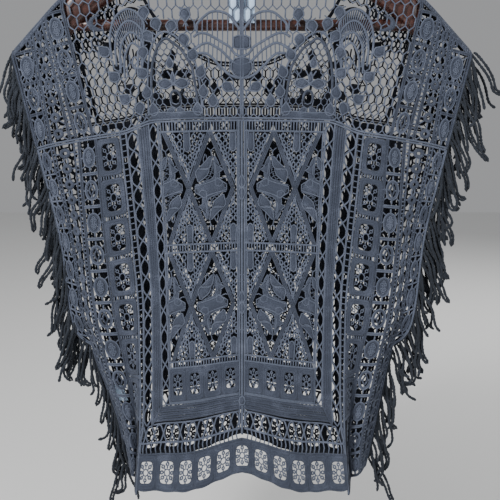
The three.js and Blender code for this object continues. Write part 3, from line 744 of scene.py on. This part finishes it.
def borders(which):
    """The openwork columns and the plain band round the centre panel, and the rows over the hem."""
    lace = Lace()
    wavy(lace, 111, 5.1, 4, 352, LENS, 1.0)
    lace.cord([(116.6, 2), (116.6, 353), (CENTRE_CORD, 353)], 1.1, step=6)
    for i in range(4):
        u, v = 118.9 + 3.1 * i, 355.4 + 4.6 * i
        upright = np.array([(u + 0.25 * math.sin(0.9 * k + i), 4 + 6 * k) for k in range(58)])
        along = [(x, v + 0.3 * math.sin(0.08 * x + 2 * i)) for x in np.linspace(u - 5, 1.5, 17)]
        lace.bold(np.concatenate([upright, [(u, v)], along]), 1.85, 7, tall=1.45)
        if i:
            lace.bold([(u - 3, v - 2.3), (1.5, v - 2.3)], 1.3, 7, tall=1.2)
    lace.bold([(117.5, 353.5), (BAND_OUT - 0.4, BAND_FOOT - 0.5)], 1.7)
    lace.cord([(BAND_OUT, 2), (BAND_OUT, BAND_FOOT), (CENTRE_CORD, BAND_FOOT)], 1.1, step=6)
    lace.plate(oval(0, 361, 4.2, 5, 10), 2, 0.8, single=True)
    wavy(lace, 137.8, 6.2, 4, BAND_FOOT, LENS, 1.05)
    lace.cord([(LADDER_U[0], 2), (LADDER_U[0], 380), (150, 392)], 1.35, step=6)
    lace.down(LADDER_U[1], BODY_TOP, BODY_FOOT, 1.35)
    if which == "back":
        lace.ladder(4, 372, *LADDER_U, 7.8, 0.7, down=True)
    else:
        for u in (147.2, 149, 150.8):
            lace.bold([(u, 4), (u, 372)], 1.2, 7)
    # rows over the hem
    wavy(lace, 384, 10, 4, 151, 12.25, 1.05, down=False)
    lace.across(394.5, CENTRE_CORD, 152, 1.35)
    lace.ladder(4, 151, 395, 408.5, 6, 0.78, bow=1.4)
    # the cord along the yoke seam
    lace.across(1.5, 0, EDGE_U, 1.35, step=5)
    return lace


HEM_HALF, HEM_V = 149, (409.6, 456)
HEM_SQUARE = 2 * HEM_HALF / 11


def hem_band():
    """Solid squares side by side, each with an openwork window."""
    lace = Lace()
    for i in range(6):
        u, half = i * HEM_SQUARE, HEM_SQUARE / 2
        square(lace, u - half - 0.1, u + half + 0.1, *HEM_V, 17.5, 29, single=i == 0, fine=0.85)
        lace.bold([(u + half, 410), (u + half, 456)], 1.2, 8)
    for v in (411.2, 454.2):
        lace.bold([(0, v), (HEM_HALF, v)], 1.2, 7)
    us = np.arange(0, HEM_HALF + 0.1, 4)
    lace.bold(np.stack([us, 456 + 0.7 * np.cos(2 * np.pi * us / HEM_SQUARE)], -1), 1.6)
    lace.bold([(0, 409), (HEM_HALF, 409)], 1.5)
    lace.bold([(148.6, 409), (HEM_HALF, 432), (148.4, 456)], 1.5)
    return lace


EYE = [(0, -1), (0.5, -0.55), (0.9, 0), (0.5, 0.55), (0, 1), (-0.5, 0.55), (-0.9, 0), (-0.5, -0.55)]


def oval_motif(lace, u, v, ru, rv, kind):
    """An oval: open with a pointed eye, or filled with small rings."""
    lace.ring(u, v, ru - 1.7, rv - 1.9, 2.0, 18, tall=1.4, mark=SOLID, sides=6)
    lace.ring(u, v, ru - 0.4, rv - 0.4, 0.7, 18, lift=0.5, sides=4)
    if kind == "eye":
        lace.cord([(u + x * (ru - 5.2), v + y * (rv - 6)) for x, y in EYE], 1.3, closed=True, mark=SOLID)
        for way in (-1, 1):
            lace.thread((u, v + way * (rv - 6)), (u, v + way * (rv - 3)), 0.9)
            lace.thread((u + way * (ru - 5), v), (u + way * (ru - 2), v), 0.9)
    else:
        lace.plate(oval(u, v, ru - 3.2, rv - 2.4, 14), 1.2)
        for k in range(-2, 3):
            for x in (-1, 1) if k % 2 else (0,):
                spot = u + x * ru * 0.24, v + k * rv * 0.26
                lace.ring(*spot, ru * 0.18, rv * 0.12, 0.6, 7, lift=1.1, sides=4)
    for way in (1, -1):
        lace.thread((u + way * (ru - 0.6), v), (u + way * (ru + 3), v), 0.85)
        lace.thread((u, v + way * (rv - 0.6)), (u, v + way * (rv + 4.6)), 0.95)
        for x in (-1, 1):
            lace.thread((u + x * ru * 0.66, v + way * rv * 0.74), (u + x * (ru + 2.6), v + way * (rv + 1)))


# u of the motifs beside the centre, and the pitch of each column
SQUARES_U, SQUARES_PITCH = (154.2, 183.2), 51.8
OVALS_U, OVALS_PITCH = 195.5, 42
RINGS_U, RINGS_PITCH = 224.7, 21
CUFF_OVALS_U, CUFF_OVALS_PITCH = 256.5, 38.5
CUFF_CORNER = [(EDGE_U, CUFF_END), (273, 267), (265, 276), (254, 281), (SIDE_U, UNDERARM)]


def columns():
    """The squares, ovals, rings and outer ovals beside the centre, below the yoke seam."""
    lace = Lace()
    for k in range(8):
        v = 3.4 + SQUARES_PITCH * k
        square(lace, *SQUARES_U, v, v + 48, 17, 34)
        lace.ladder(154.5, 183, v + 47.6, v + 52.2, 3.1, 0.7)
    lace.frame(*SQUARES_U, 419, 462, 14, 26)
    lace.ring(167.6, 441, 4, 9, 1, 10)
    lace.rail([(184, BODY_TOP), (184, BODY_FOOT)])
    for k in range(11):
        v = 24 + OVALS_PITCH * k
        oval_motif(lace, OVALS_U, v, 8.6, 13, "eye" if k % 2 else "filled")
        for dv in (19.9, 22.1):
            lace.across(v + dv, 185, 207, 1.15)
    for u, r in ((206.8, 1.2), (209.2, 1.1), (214.2, 1.2), (236.2, 1.2), (SIDE_U, 1.4)):
        lace.bold([(u, BODY_TOP), (u, BODY_FOOT)], r)
    lace.ladder(4, 462, 208.8, 213.4, 5.2, 0.85, down=True)
    lace.ladder(4, 462, 237, SIDE_U, 6, 0.85, down=True)
    for k in range(22):
        v = 14 + RINGS_PITCH * k
        lace.ring(RINGS_U, v, 4.3, 4.5, 2.5, 12, sides=6, tall=1.7, mark=SOLID)
        for way in (-1, 1):  # two bowed legs to the next ring
            leg = [(1.1, 6), (2.3, 10.5), (1.1, 15)]
            lace.cord([(RINGS_U + way * du, v + dv) for du, dv in leg], 0.85, sides=4)
        lace.thread((213, v), (218.6, v), 0.85)
        lace.thread((230.8, v), (236.4, v), 0.85)
        lace.thread((227, v + 10.5), (236.4, v + 11), 0.65)
    for k in range(7):
        v = 20 + CUFF_OVALS_PITCH * k
        if v < CUFF_END + 3:
            oval_motif(lace, CUFF_OVALS_U, v, 10.5, 13.5, "filled" if k % 2 else "eye")
            for s in (-1, 1):
                lace.thread((CUFF_OVALS_U + s * 7, v + 10.5), (CUFF_OVALS_U + s * 12, v + 17))
            lace.across(v + 19.2, SIDE_U, 272, 0.9)
    for inset, r in ((0.8, 1.7), (4.2, 1.0)):
        corner = [(u - inset * 0.8, v - inset * 0.7) for u, v in CUFF_CORNER]
        lace.cord([(EDGE_U - inset, BODY_TOP)] + corner, r, step=5)
    lace.ladder(4, 256, 271.6, 275, 5, 0.8, down=True)
    lace.bold([(152, 463.4), (SIDE_U, 463.4)], 1.5)
    return lace


# the yoke's lace
# u and v of each bud, and the angle of its point
BUDS = [
    (106, -128, 90), (62, -122, 90), (104, -100, 120), (112, -82, 90), (116, -60, -60), (113, -36, -90),
    (124, -19, 95), (108, -14, -90), (154, -100, -60), (148, -68, -55), (140, -38, -50), (94, -113, 100),
    (78, -109, 75), (65, -93, 100), (56, -77, -110), (48, -57, -110), (46, -34, -95), (54, -13, -90),
    (35, -23, -95), (16, -38, 150),
]
BUD_WIDE, BUD_LONG = 11.5, 15.5
ARCH = [
    (110, -8), (108, -36), (106, -54), (102, -72), (96, -86), (90, -94), (84, -96), (78, -91), (70, -84),
    (64, -74), (58, -62), (56, -46), (54, -28), (54, -6),
]
OUTER_ARCH = [
    (115, -8), (112, -40), (109, -62), (105, -80), (98, -96), (88, -104), (80, -102), (72, -96), (65, -87),
    (59, -77), (53, -64), (50.5, -48), (49, -28), (49, -6),
]
ARCH_FOOT = [(48, -8.5), (60, -10), (82, -8.5), (104, -10), (116, -8.5), (116, -2), (82, -1.6), (48, -2)]
FLOWER_U = 81
STAMENS = [
    ([(0.8, -42), (2.5, -52), (6, -58)], 0.9),
    ([(12, -50), (17, -58)], 0.7),
    ([(14, -38), (23, -34)], 0.7),
]
FLOWER_CAP = [(73, -24), (76, -20), (80, -18.5), (84, -20), (87, -24), (86, -17), (80, -13.5), (74, -17)]
SCROLLS = [
    [(50, -102), (50, -111), (42, -120), (34, -126), (24, -127), (14, -123), (7, -113), (0, -104)],
    [(54, -97), (48, -101), (40, -101), (30, -96), (22, -91), (14, -86), (8, -78), (0, -74)],
    [(54, -82), (46, -88), (38, -90), (32, -87), (24, -82), (18, -76), (10, -68), (0, -64)],
    [(50, -78), (41, -78), (34, -73), (28, -66), (22, -60), (16, -54), (8, -50), (0, -49)],
]
CENTRE_BLOCKS = [
    [(0, -99.5), (5, -99), (9, -97), (9.5, -91), (9, -85), (5, -83), (0, -83)],
    [(0, -74), (8, -72), (12, -66), (12.5, -59), (8, -52), (0, -48)],
]
# u and v of each fan's top, half its width and how far its legs reach down
FANS = [(126, -139, 19, 50), (125, -125, 16, 46), (124, -111, 13.5, 42), (123, -98, 11, 36)]
CRESCENT = [(150, -124), (157, -127), (162, -132), (160, -140), (152, -143)]
NET_WIDE, NET_R = 9.4, 1.25
NET_LEVELS = [4.4, 14, 24.5, 36, 48, 60.5, 74, 88, 102.5, 117, 131.5, 146, 160.5, 175, 189.5]
COLUMNS_START = 187  # u where the net ends and the yoke's columns start


def inside(points, polygon):
    """Which points lie inside the polygon."""
    points, polygon = np.atleast_2d(points), np.asarray(polygon, float)
    x, y = points[:, 0], points[:, 1]
    hit = np.zeros(len(points), bool)
    for (x1, y1), (x2, y2) in zip(polygon, np.roll(polygon, -1, axis=0)):
        with np.errstate(divide="ignore", invalid="ignore"):
            cross = (y1 > y) != (y2 > y)
            hit ^= cross & (x < (x2 - x1) * (y - y1) / (y2 - y1 + 1e-12) + x1)
    return hit


def net(lace, region, blocked, wide, levels, r, u_range, peak=5.0):
    """Six-sided meshes: a zigzag at each level, joined by upright threads, wherever region says yes."""
    levels = np.sort(levels)
    us = np.arange(u_range[0], u_range[1], wide / 2)
    k = np.arange(len(us))

    def zigzag(j):
        return np.stack([us, levels[j] + peak / 2 * np.where((k + j) % 2, -1, 1)], -1)

    def open_to(points):
        return region(points) & ~blocked(points)

    for j in range(len(levels)):
        row = zigzag(j)
        good = open_to(row)
        first = 0
        for i in range(1, len(row) + 1):
            if i == len(row) or not good[i]:
                if i - first > 1:
                    lace.cord(row[first:i], r, sides=4, step=20)
                first = i + 1
            if i < len(row) and not good[i - 1]:
                first = i
        if j + 1 < len(levels):
            below = zigzag(j + 1)
            for i in range(len(row)):
                if (i + j) % 2 == 0 and good[i] and open_to(below[i:i + 1])[0]:
                    lace.cord([row[i], below[i]], r, sides=4, step=20)


def yoke_nets(lace, which, arch, blocked):
    """The large meshes round the motifs, and smaller ones over the columns and in the arch."""

    def between(u0, u1, room=1.2, foot=-1):
        def region(p):
            u, v = p.T
            return (u >= u0) & (u <= u1) & (v < foot) & (v > neck_edge(which, u) + room)
        return region

    def flower(points):
        top, foot = oval(82, -44, 14, 18, 12), oval(82, -24, 9, 12, 12)
        return inside(points, top) | inside(points, foot)

    net(lace, between(0.5, COLUMNS_START), blocked, NET_WIDE, -np.array(NET_LEVELS), NET_R, (0.6, 188))
    # short feet from the lowest meshes to the seam
    for foot in np.arange(0.6, COLUMNS_START - 1, NET_WIDE):
        if not blocked(np.array([[foot, -4.0]]))[0]:
            lace.thread((foot, -1.9), (foot, -1.2), 1.12)
    net(lace, between(189, 275, 26), blocked, 8.6, np.arange(-200, -60, 8.5), 0.8, (189, EDGE_U), 4)
    if which == "front":  # denser under the shoulder
        net(lace, between(136, 186, foot=-92), blocked, 4.7, np.arange(-195, -92, 6.5), 1.6, (134, 188), 3)
    net(lace, lambda p: inside(p, arch), flower, 7.6, np.arange(-98, -8, 7.2), 0.68, (50.5, 114), 3.6)


def bud(lace, u, v, angle):
    """A solid bud with two short threads at each end."""
    lace.plate(teardrop(u, v, BUD_WIDE, BUD_LONG, math.radians(angle), 16), 1.45, 0.75)
    for start, end, turned in ((7, 13, 12), (7, 13, -12), (-7, -11, 30), (-7, -11, -30)):
        ends = ((start, math.radians(angle)), (end, math.radians(angle + turned)))
        lace.thread(*[(u + far * math.cos(way), v + far * math.sin(way)) for far, way in ends])


def flower_arch(lace, arch, outer):
    """A double arch on a solid foot, with a flower: petals, stamens, a bud over them and a ring below."""
    lace.bold(arch, 1.8, 5)
    lace.cord(outer, 1.3, step=5)
    for k in range(3, len(arch) - 2, 3):
        lace.thread(arch[k], outer[k])
    lace.plate(ARCH_FOOT, 1.4, 0.7, (82, -5.4))
    u = FLOWER_U
    for s in (-1, 1):
        lace.plate(teardrop(u + s * 8.6, -43, 11.5, 18, math.pi if s > 0 else 0, 16), 1.5, 0.8)
        lace.plate(teardrop(u + s * 7, -10.5, 7, 12, math.radians(90 - s * 60)), 1.2, 0.6)
        for stamen, r in STAMENS:
            lace.cord([(u + s * du, v) for du, v in stamen], r, sides=4)
    lace.plate(teardrop(u, -49, 5, 16, -math.pi / 2), 1.6, 0.7)
    lace.plate(teardrop(u + 2, -68, 8, 13, -math.pi / 2), 1.4, 0.7)
    lace.ring(u - 1, -26, 6, 9, 1.7, 14, mark=SOLID, tall=1.4)
    lace.plate(FLOWER_CAP, 1.4, 0.6, (80, -17.5))


def fan_path(u, v, half, legs):
    half_path = [(half, legs * 0.5), (half * 0.62, 7)]
    right = [(half + 2, legs)] + half_path
    left = [(-du, dv) for du, dv in half_path[::-1]] + [(-half * 0.6, legs)]
    return spline([(u + du, v + dv) for du, dv in right + [(0, 0)] + left], 5)


def fan_work(lace, paths):
    """Nested arcs with rungs between them, and the ring and crescent beside them."""
    for path in paths:
        lace.cord(path, 1.5, step=5)
    for upper, path, every in zip(paths, paths[1:], (1, 1, 2)):
        for k in range(6, len(path) - 6, every):
            lace.thread(path[k], upper[k], 0.6)
    lace.ring(122, -74, 3.4, 7, 0.9, 12)
    crescent = spline(CRESCENT, 4)
    rise = len(crescent) // 2
    swell = np.concatenate([np.linspace(1, 4.2, rise), np.linspace(4.2, 1, len(crescent) - rise)])
    lace.bold(crescent, swell, 4, tall=1.4, sides=6)


def scroll_work(lace, scrolls):
    """Curved cords one under another with rungs between them, and the cords and blocks on the centre line."""
    for path in scrolls:
        lace.cord(path, 1.75, step=5)
    for high, low, pitch in zip(scrolls, scrolls[1:], (5.6, 4.4, 4.8)):
        for u in np.arange(4, 50, pitch):
            top, foot = (float(np.interp(u, path[::-1, 0], path[::-1, 1])) for path in (high, low))
            lace.thread((u, top), (u + 1, foot), 0.75)
    for block in CENTRE_BLOCKS:
        lace.plate(block + [(-u, v) for u, v in block[-2:0:-1]], 1.5, 0.8, single=True)
    lace.down(0, -150, -4, 1.4, single=True)
    lace.down(1.6, -150, -4, 1.0, lift=0.8)


YOKE_CORDS = [
    (186, 1.2), (188.2, 1.2), (209.4, 1.2), (211.6, 1.0), (216, 1.2), (218, 1.0), (237.6, 1.0), (239.6, 1.2),
    (243.6, 1.3), (274.6, 1.8), (270.8, 1.0),
]
YOKE_OVALS_U, YOKE_RINGS_U = 199, 227.8


def yoke_columns(lace, which):
    """The columns of ovals and rings that go on over the shoulder."""
    for u, r in YOKE_CORDS:
        lace.bold([(u, float(neck_edge(which, u)) + 2.5), (u, -3)], r, 4)
    for k in range(5):
        v = -20 - 38 * k
        if v - 14 > neck_edge(which, YOKE_OVALS_U):
            oval_motif(lace, YOKE_OVALS_U, v, 8.6, 13.4, "filled" if k % 2 else "eye")
            lace.rail([(188, v - 19), (209, v - 19)])
        if v - 16 > neck_edge(which, 256):
            oval_motif(lace, CUFF_OVALS_U, v - 2, 10.5, 14, "eye" if k % 2 else "filled")
            lace.rail([(243, v - 21), (271, v - 21)])
    for k in range(8):
        u, v = YOKE_RINGS_U, -12 - 20 * k
        if v - 8 > neck_edge(which, 227):
            lace.ring(u, v, 4, 4.3, 2.4, 12, sides=6, tall=1.7, mark=SOLID)
            lace.thread((u, v - 6), (u, v - 14), 0.95)
            lace.thread((218, v), (222, v), 0.8)
            lace.thread((233, v), (238, v), 0.8)
            for x, y in ((-1, -1), (-1, 1), (1, -1), (1, 1)):
                lace.thread((u + x * 4.4, v + y * 4.8), (u + x * 9, v + y * 9))
    lace.ladder(float(neck_edge(which, 213)) + 4, -4, 211.6, 216, 5, 0.8, down=True)
    lace.ladder(float(neck_edge(which, 240)) + 4, -4, 239.6, 243.6, 6, 0.8, down=True)


NECK_END = 115.5  # u where the neckline turns up to the shoulder line
CORNER_RINGS = [
    (248.5, -137, 2.6, 4.2), (256.5, -132, 3.2, 4.6), (264.5, -125.5, 2.6, 3.2), (248.5, -125, 2.8, 4),
    (203, -167, 2, 3),
]


def yoke_edges(lace, which):
    """The neckline, the shoulder seam with two rows under it and rings in its corners, and the yoke seam."""

    def edge_line(u0, u1, under):
        us = np.arange(u0, u1, 3.0)
        return np.stack([us, neck_edge(which, us) + under], -1)

    edge = edge_line(0, NECK_END, 0)
    turn = np.linspace(edge[-1, 1], float(neck_edge(which, 117)) + 1, 8)[1:]
    lace.cord(np.concatenate([edge, [(NECK_END, v) for v in turn]]), 1.5, step=4)
    second = edge[:-1] + [0, 4.2]
    lace.cord(second, 0.9, step=4)
    for p, q in zip(edge[1:-1], second[1:]):
        lace.thread(p, q, 0.6)
    lace.cord(edge_line(117, EDGE_U, 2.2), 1.5, step=4)
    seam = edge_line(COLUMNS_START, 274, 2.2)
    for low, r in ((5.4, 1.4), (10.6, 1.3)):
        lace.bold(seam + [0, low], r, 4)
    for p in seam:
        lace.thread(p, p + [0.8, 10.6], 0.85)
    for u, v, ru, rv in CORNER_RINGS:
        lace.ring(u, v, ru, rv, 1.5, 10, tall=1.3, mark=SOLID)
        lace.thread((u, v - rv), (u, v - rv - 6), 0.9)
        lace.thread((u - ru, v), (u - ru - 3, v), 0.9)
    lace.across(-1.5, 0, EDGE_U, 1.35, step=5)


def yoke(which):
    """The yoke: net with buds, an arch with a flower, nested fans and scrolls."""
    lace = Lace()
    arch, outer = spline(ARCH, 3), spline(OUTER_ARCH, 3)
    fans = [fan_path(*fan) for fan in FANS]
    scrolls = [spline(path, 4) for path in SCROLLS]
    zones = [outer, fans[0], np.concatenate([scrolls[0], scrolls[-1][::-1]])]
    zones += [teardrop(u, v, BUD_WIDE, BUD_LONG, math.radians(a)) for u, v, a in BUDS]

    def blocked(points):
        return np.any([inside(points, zone) for zone in zones], axis=0)

    yoke_nets(lace, which, arch, blocked)
    for place in BUDS:
        bud(lace, *place)
    flower_arch(lace, arch, outer)
    fan_work(lace, fans)
    scroll_work(lace, scrolls)
    yoke_columns(lace, which)
    lace.keep(lambda p: p[:, 1] > neck_edge(which, p[:, 0]) + 0.8)
    yoke_edges(lace, which)
    return lace


# both layers
NAMES = {-1: "back", 1: "front"}
FRONT_SPREAD = 1.5


def keep_piece(piece, slot, *nodes):
    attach(piece, "root")
    if nodes:
        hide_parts(*nodes)
    return piece


def lace_piece(lace, layer, name, spread, *nodes):
    piece = lace.build(f"{NAMES[layer]}_{name}_lace", layer, [thread, solid, painted_shade_yarn], spread)
    return keep_piece(piece, "lace", *[f"{NAMES[layer]}_{node}" for node in nodes])


for layer, which in NAMES.items():
    spread = 1.0 if which == "back" else FRONT_SPREAD
    yoke_lace = lace_piece(yoke(which), layer, "yoke", 1.0, "yoke")
    panel = lace_piece(centre_panel(), layer, "panel", spread, "body")
    border = lace_piece(borders(which), layer, "border", spread)
    side = lace_piece(columns(), layer, "column", spread)
    band = lace_piece(hem_band(), layer, "hem", spread, "hem_band")

# fringe
rng = np.random.default_rng(11)
STRAND_LENGTH = 68.0
STRAND_STEP = 1.45
STRAND_PITCH = 8.4
LOOPED_SHARE, LOOP_WIDTH = 0.45, 3.2
# degrees that the strands of a sleeve and of a side lean outwards
LEAN = {"left": (11, 2), "right": (14, 9)}
# flat places of the fringed edge, from the shoulder round the cuff's corner
CUFF_LINE = [(276.5, v) for v in np.arange(-124, CUFF_END, 6.0)]
CUFF_LINE += [(273.5, 268), (265, 277), (254, 282), (243, 285)]
SIDE_LINE = [(SIDE_U, v) for v in np.arange(UNDERARM + 4, SIDE_HEM, 6.0)]


def strand_path(root, side, leaning):
    """A strand of chain: single, or a narrow loop. It hangs down, leans outwards and wanders."""
    length = STRAND_LENGTH * rng.uniform(0.8, 1.06)
    lean = math.radians(rng.normal(leaning, 7))
    swing, spin = rng.uniform(0.1, 0.42), rng.uniform(0.05, 0.3)
    turns, phase, phase2 = rng.uniform(0.6, 1.5), rng.uniform(0, 6.3), rng.uniform(0, 6.3)
    looped, gap = rng.random() < LOOPED_SHARE, rng.uniform(1.0, 3.4)
    n = int(length / STRAND_STEP)
    s = np.linspace(0, 1, n)
    heading = lean * (1.4 - 0.8 * s) + swing * np.sin(phase + 6.3 * turns * s) * (0.3 + 0.7 * s)
    heading += rng.normal(0, 0.7) * smooth(0.75, 1, s)
    yaw = spin * np.sin(phase2 + 5.0 * s)
    run = np.stack([side * np.sin(heading) * np.cos(yaw), np.sin(yaw), -np.cos(heading) * np.cos(yaw)], -1)
    path = root + np.cumsum(run, axis=0) * length / n
    if looped:
        across = np.stack([np.cos(heading), np.full(n, 0.35), side * np.sin(heading)], -1)
        back = path + across * (LOOP_WIDTH + gap * np.sin(np.pi * np.sqrt(s)))[:, None]
        tip = (path[-1] + back[-1]) / 2 + run[-1] * 2.4
        path = np.concatenate([path, tip[None], back[::-1]])
    return path


def fringe_piece(name, edge, out, side, leaning, node):
    """Chained cords that hang from the edge, with a narrow strip over them. out: the way they stand off."""
    paths, places, normals, first = [], [], [], 0
    for root in edge:
        path = strand_path(root + np.array(out) * [0, rng.uniform(0, 1.5), 0], side, leaning)
        n = len(path)
        k = np.arange(n)
        chain = 1.55 + 0.6 * np.abs(np.sin(np.pi * k / 3.2 + rng.uniform(0, 3)))
        chain[-4:] *= [1.1, 1.15, 1.0, 0.7]
        chain[:2] *= 0.8
        turn = rng.uniform(0, 3) + 0.35 * k
        paths.append((first, n, False, chain, chain * 0.82, 0.0))
        places.append(path)
        normals.append(np.stack([np.cos(turn), np.sin(turn), np.zeros(n)], -1))
        first += n
    paths.append((first, len(edge), False, 1.7, 1.7, 0.0))
    places.append(edge)
    normals.append(np.tile([0.0, 1.0, 0.0], (len(edge), 1)))
    points, faces = sweep(paths, 6, np.concatenate(places), np.concatenate(normals))
    return keep_piece(new_piece(name, points, faces, [fringe_yarn]), "fringe", node)


def spaced(path, pitch):
    """Points along the path at each pitch."""
    steps = np.linalg.norm(np.diff(path, axis=0), axis=1)
    track = np.concatenate([[0], np.cumsum(steps)])
    at = np.arange(3, track[-1] - 2, pitch)
    return np.stack([np.interp(at, track, path[:, k]) for k in range(3)], -1)


for layer, which in NAMES.items():
    for name, side in (("left", -1), ("right", 1)):
        edge = spaced(hang(layer, np.array(CUFF_LINE) * [side, 1])[0], STRAND_PITCH)
        names = f"{which}_cuff_strands_{name}", f"{which}_cuff_fringe_{name}"
        fringe_piece(names[0], edge, (side, layer, 0), side, LEAN[name][0], names[1])
for name, side in (("left", -1), ("right", 1)):
    flat = np.array(SIDE_LINE) * [side, 1]
    edge = spaced((hang(-1, flat)[0] + hang(1, flat)[0]) / 2 + [side * 2.2, 0, 0], STRAND_PITCH)
    fringe_piece(f"side_strands_{name}", edge, (side, 0, 0), side, LEAN[name][1], f"side_fringe_{name}")

# hanger
ARMS_TALL, ARMS_TALL_END = 26, 52
BAR_Z, BAR_HALF, BAR_R = -181, 201, 7
WIRE_R, BEND_R, BEND_Z = 2, 22, -20
ROUND_SPAN = [0.968, 0.985, 0.996, 1]  # sections in the beam's rounded ends, and their size
ROUND_SIZE = [0.96, 0.88, 0.76, 0.6]


def arms_piece():
    """The curved beam, rounded, with drooping ends."""
    span = np.concatenate([-np.array(ROUND_SPAN)[::-1], np.linspace(-0.95, 0.95, 61), ROUND_SPAN])
    shrink = np.interp(np.abs(span), [0, 0.95] + ROUND_SPAN, [1, 1] + ROUND_SIZE)
    rings, n = [], 24
    a = 2 * np.pi * (np.arange(n) + 0.5) / n
    for s, size in zip(span, shrink):
        x = s * HALF_ARMS
        half, tall = float(arm_half(x)), ARMS_TALL + (ARMS_TALL_END - ARMS_TALL) * s**4
        up = size * (half * np.sin(a) + np.sign(np.sin(a)) * (tall / 2 - half))
        z = float(arm_top(x)) - tall / 2 + up
        rings.append(np.stack([np.full(n, x), size * half * np.cos(a), z], -1))
    points = np.concatenate(rings + [rings[0].mean(0)[None], rings[-1].mean(0)[None]])
    faces, m = [], len(rings)
    for i in range(n):
        j = (i + 1) % n
        faces += [(r * n + i, r * n + j, (r + 1) * n + j, (r + 1) * n + i) for r in range(m - 1)]
        faces += [(j, i, m * n), ((m - 1) * n + i, (m - 1) * n + j, m * n + 1)]
    return keep_piece(new_piece("hanger_beam", points, faces, [wood]), "hanger", "hanger_arms")


def rod_piece(name, path, radius, sides, look, slot, node):
    path = np.asarray(path, float)
    normal = np.tile([0.0, 1.0, 0.0], (len(path), 1))
    points, faces = sweep([(0, len(path), False, radius, radius, 0.0)], sides, path, normal)
    return keep_piece(new_piece(name, points, faces, [look]), slot, node)


arms_piece()
bar = [(x, 0, BAR_Z) for x in np.linspace(-BAR_HALF, BAR_HALF, 30)]
rod_piece("hanger_rod", bar, BAR_R, 24, wood, "hanger", "hanger_bar")
stem = [(0, 0, -82.4), (0, 0, -72), (0, 0, -64), (1, 0, -57), (4, 0, -50)]
turns = np.radians(np.linspace(-50, 190, 40))
bend = [(BEND_R * math.cos(t), 0, BEND_Z + BEND_R * math.sin(t)) for t in turns]
rod_piece("hanger_wire", spline(stem + bend, 3), WIRE_R, 12, steel, "hook", "hanger_hook")

# floor and light
FLOOR_Z, FLOOR_HALF = -0.95, 4
corners = [(x * FLOOR_HALF, y * FLOOR_HALF, FLOOR_Z) for x, y in ((-1, -1), (1, -1), (1, 1), (-1, 1))]
floor_mesh = bpy.data.meshes.new("floor")
floor_mesh.from_pydata(corners, [], [(0, 1, 2, 3)])
floor = bpy.data.objects.new("floor", floor_mesh)
bpy.context.collection.objects.link(floor)
floor_mesh.materials.append(principled("floor_pale", (0.78, 0.78, 0.77), 0.8)[0])

world = bpy.data.worlds.new("studio")
world.use_nodes = True
set_inputs(world.node_tree.nodes["Background"], {"Color": (0.93, 0.94, 0.96, 1), "Strength": 0.36})
bpy.context.scene.world = world
LIT = Vector((0, 0, -0.45))  # the middle of the garment


def area_light(name, at, size, power):
    light = bpy.data.lights.new(name, "AREA")
    light.shape = "SQUARE"
    light.size = size
    light.energy = power
    lamp = bpy.data.objects.new(name, light)
    lamp.location = at
    lamp.rotation_euler = (LIT - Vector(at)).to_track_quat("-Z", "Y").to_euler()
    bpy.context.collection.objects.link(lamp)


area_light("key", (-1.2, -1.5, 0.9), 0.5, 60)
area_light("fill", (1.5, -1.5, -0.1), 1.4, 16)
area_light("rear", (1.2, 1.8, 0.9), 0.9, 30)

bpy.context.view_layer.update()
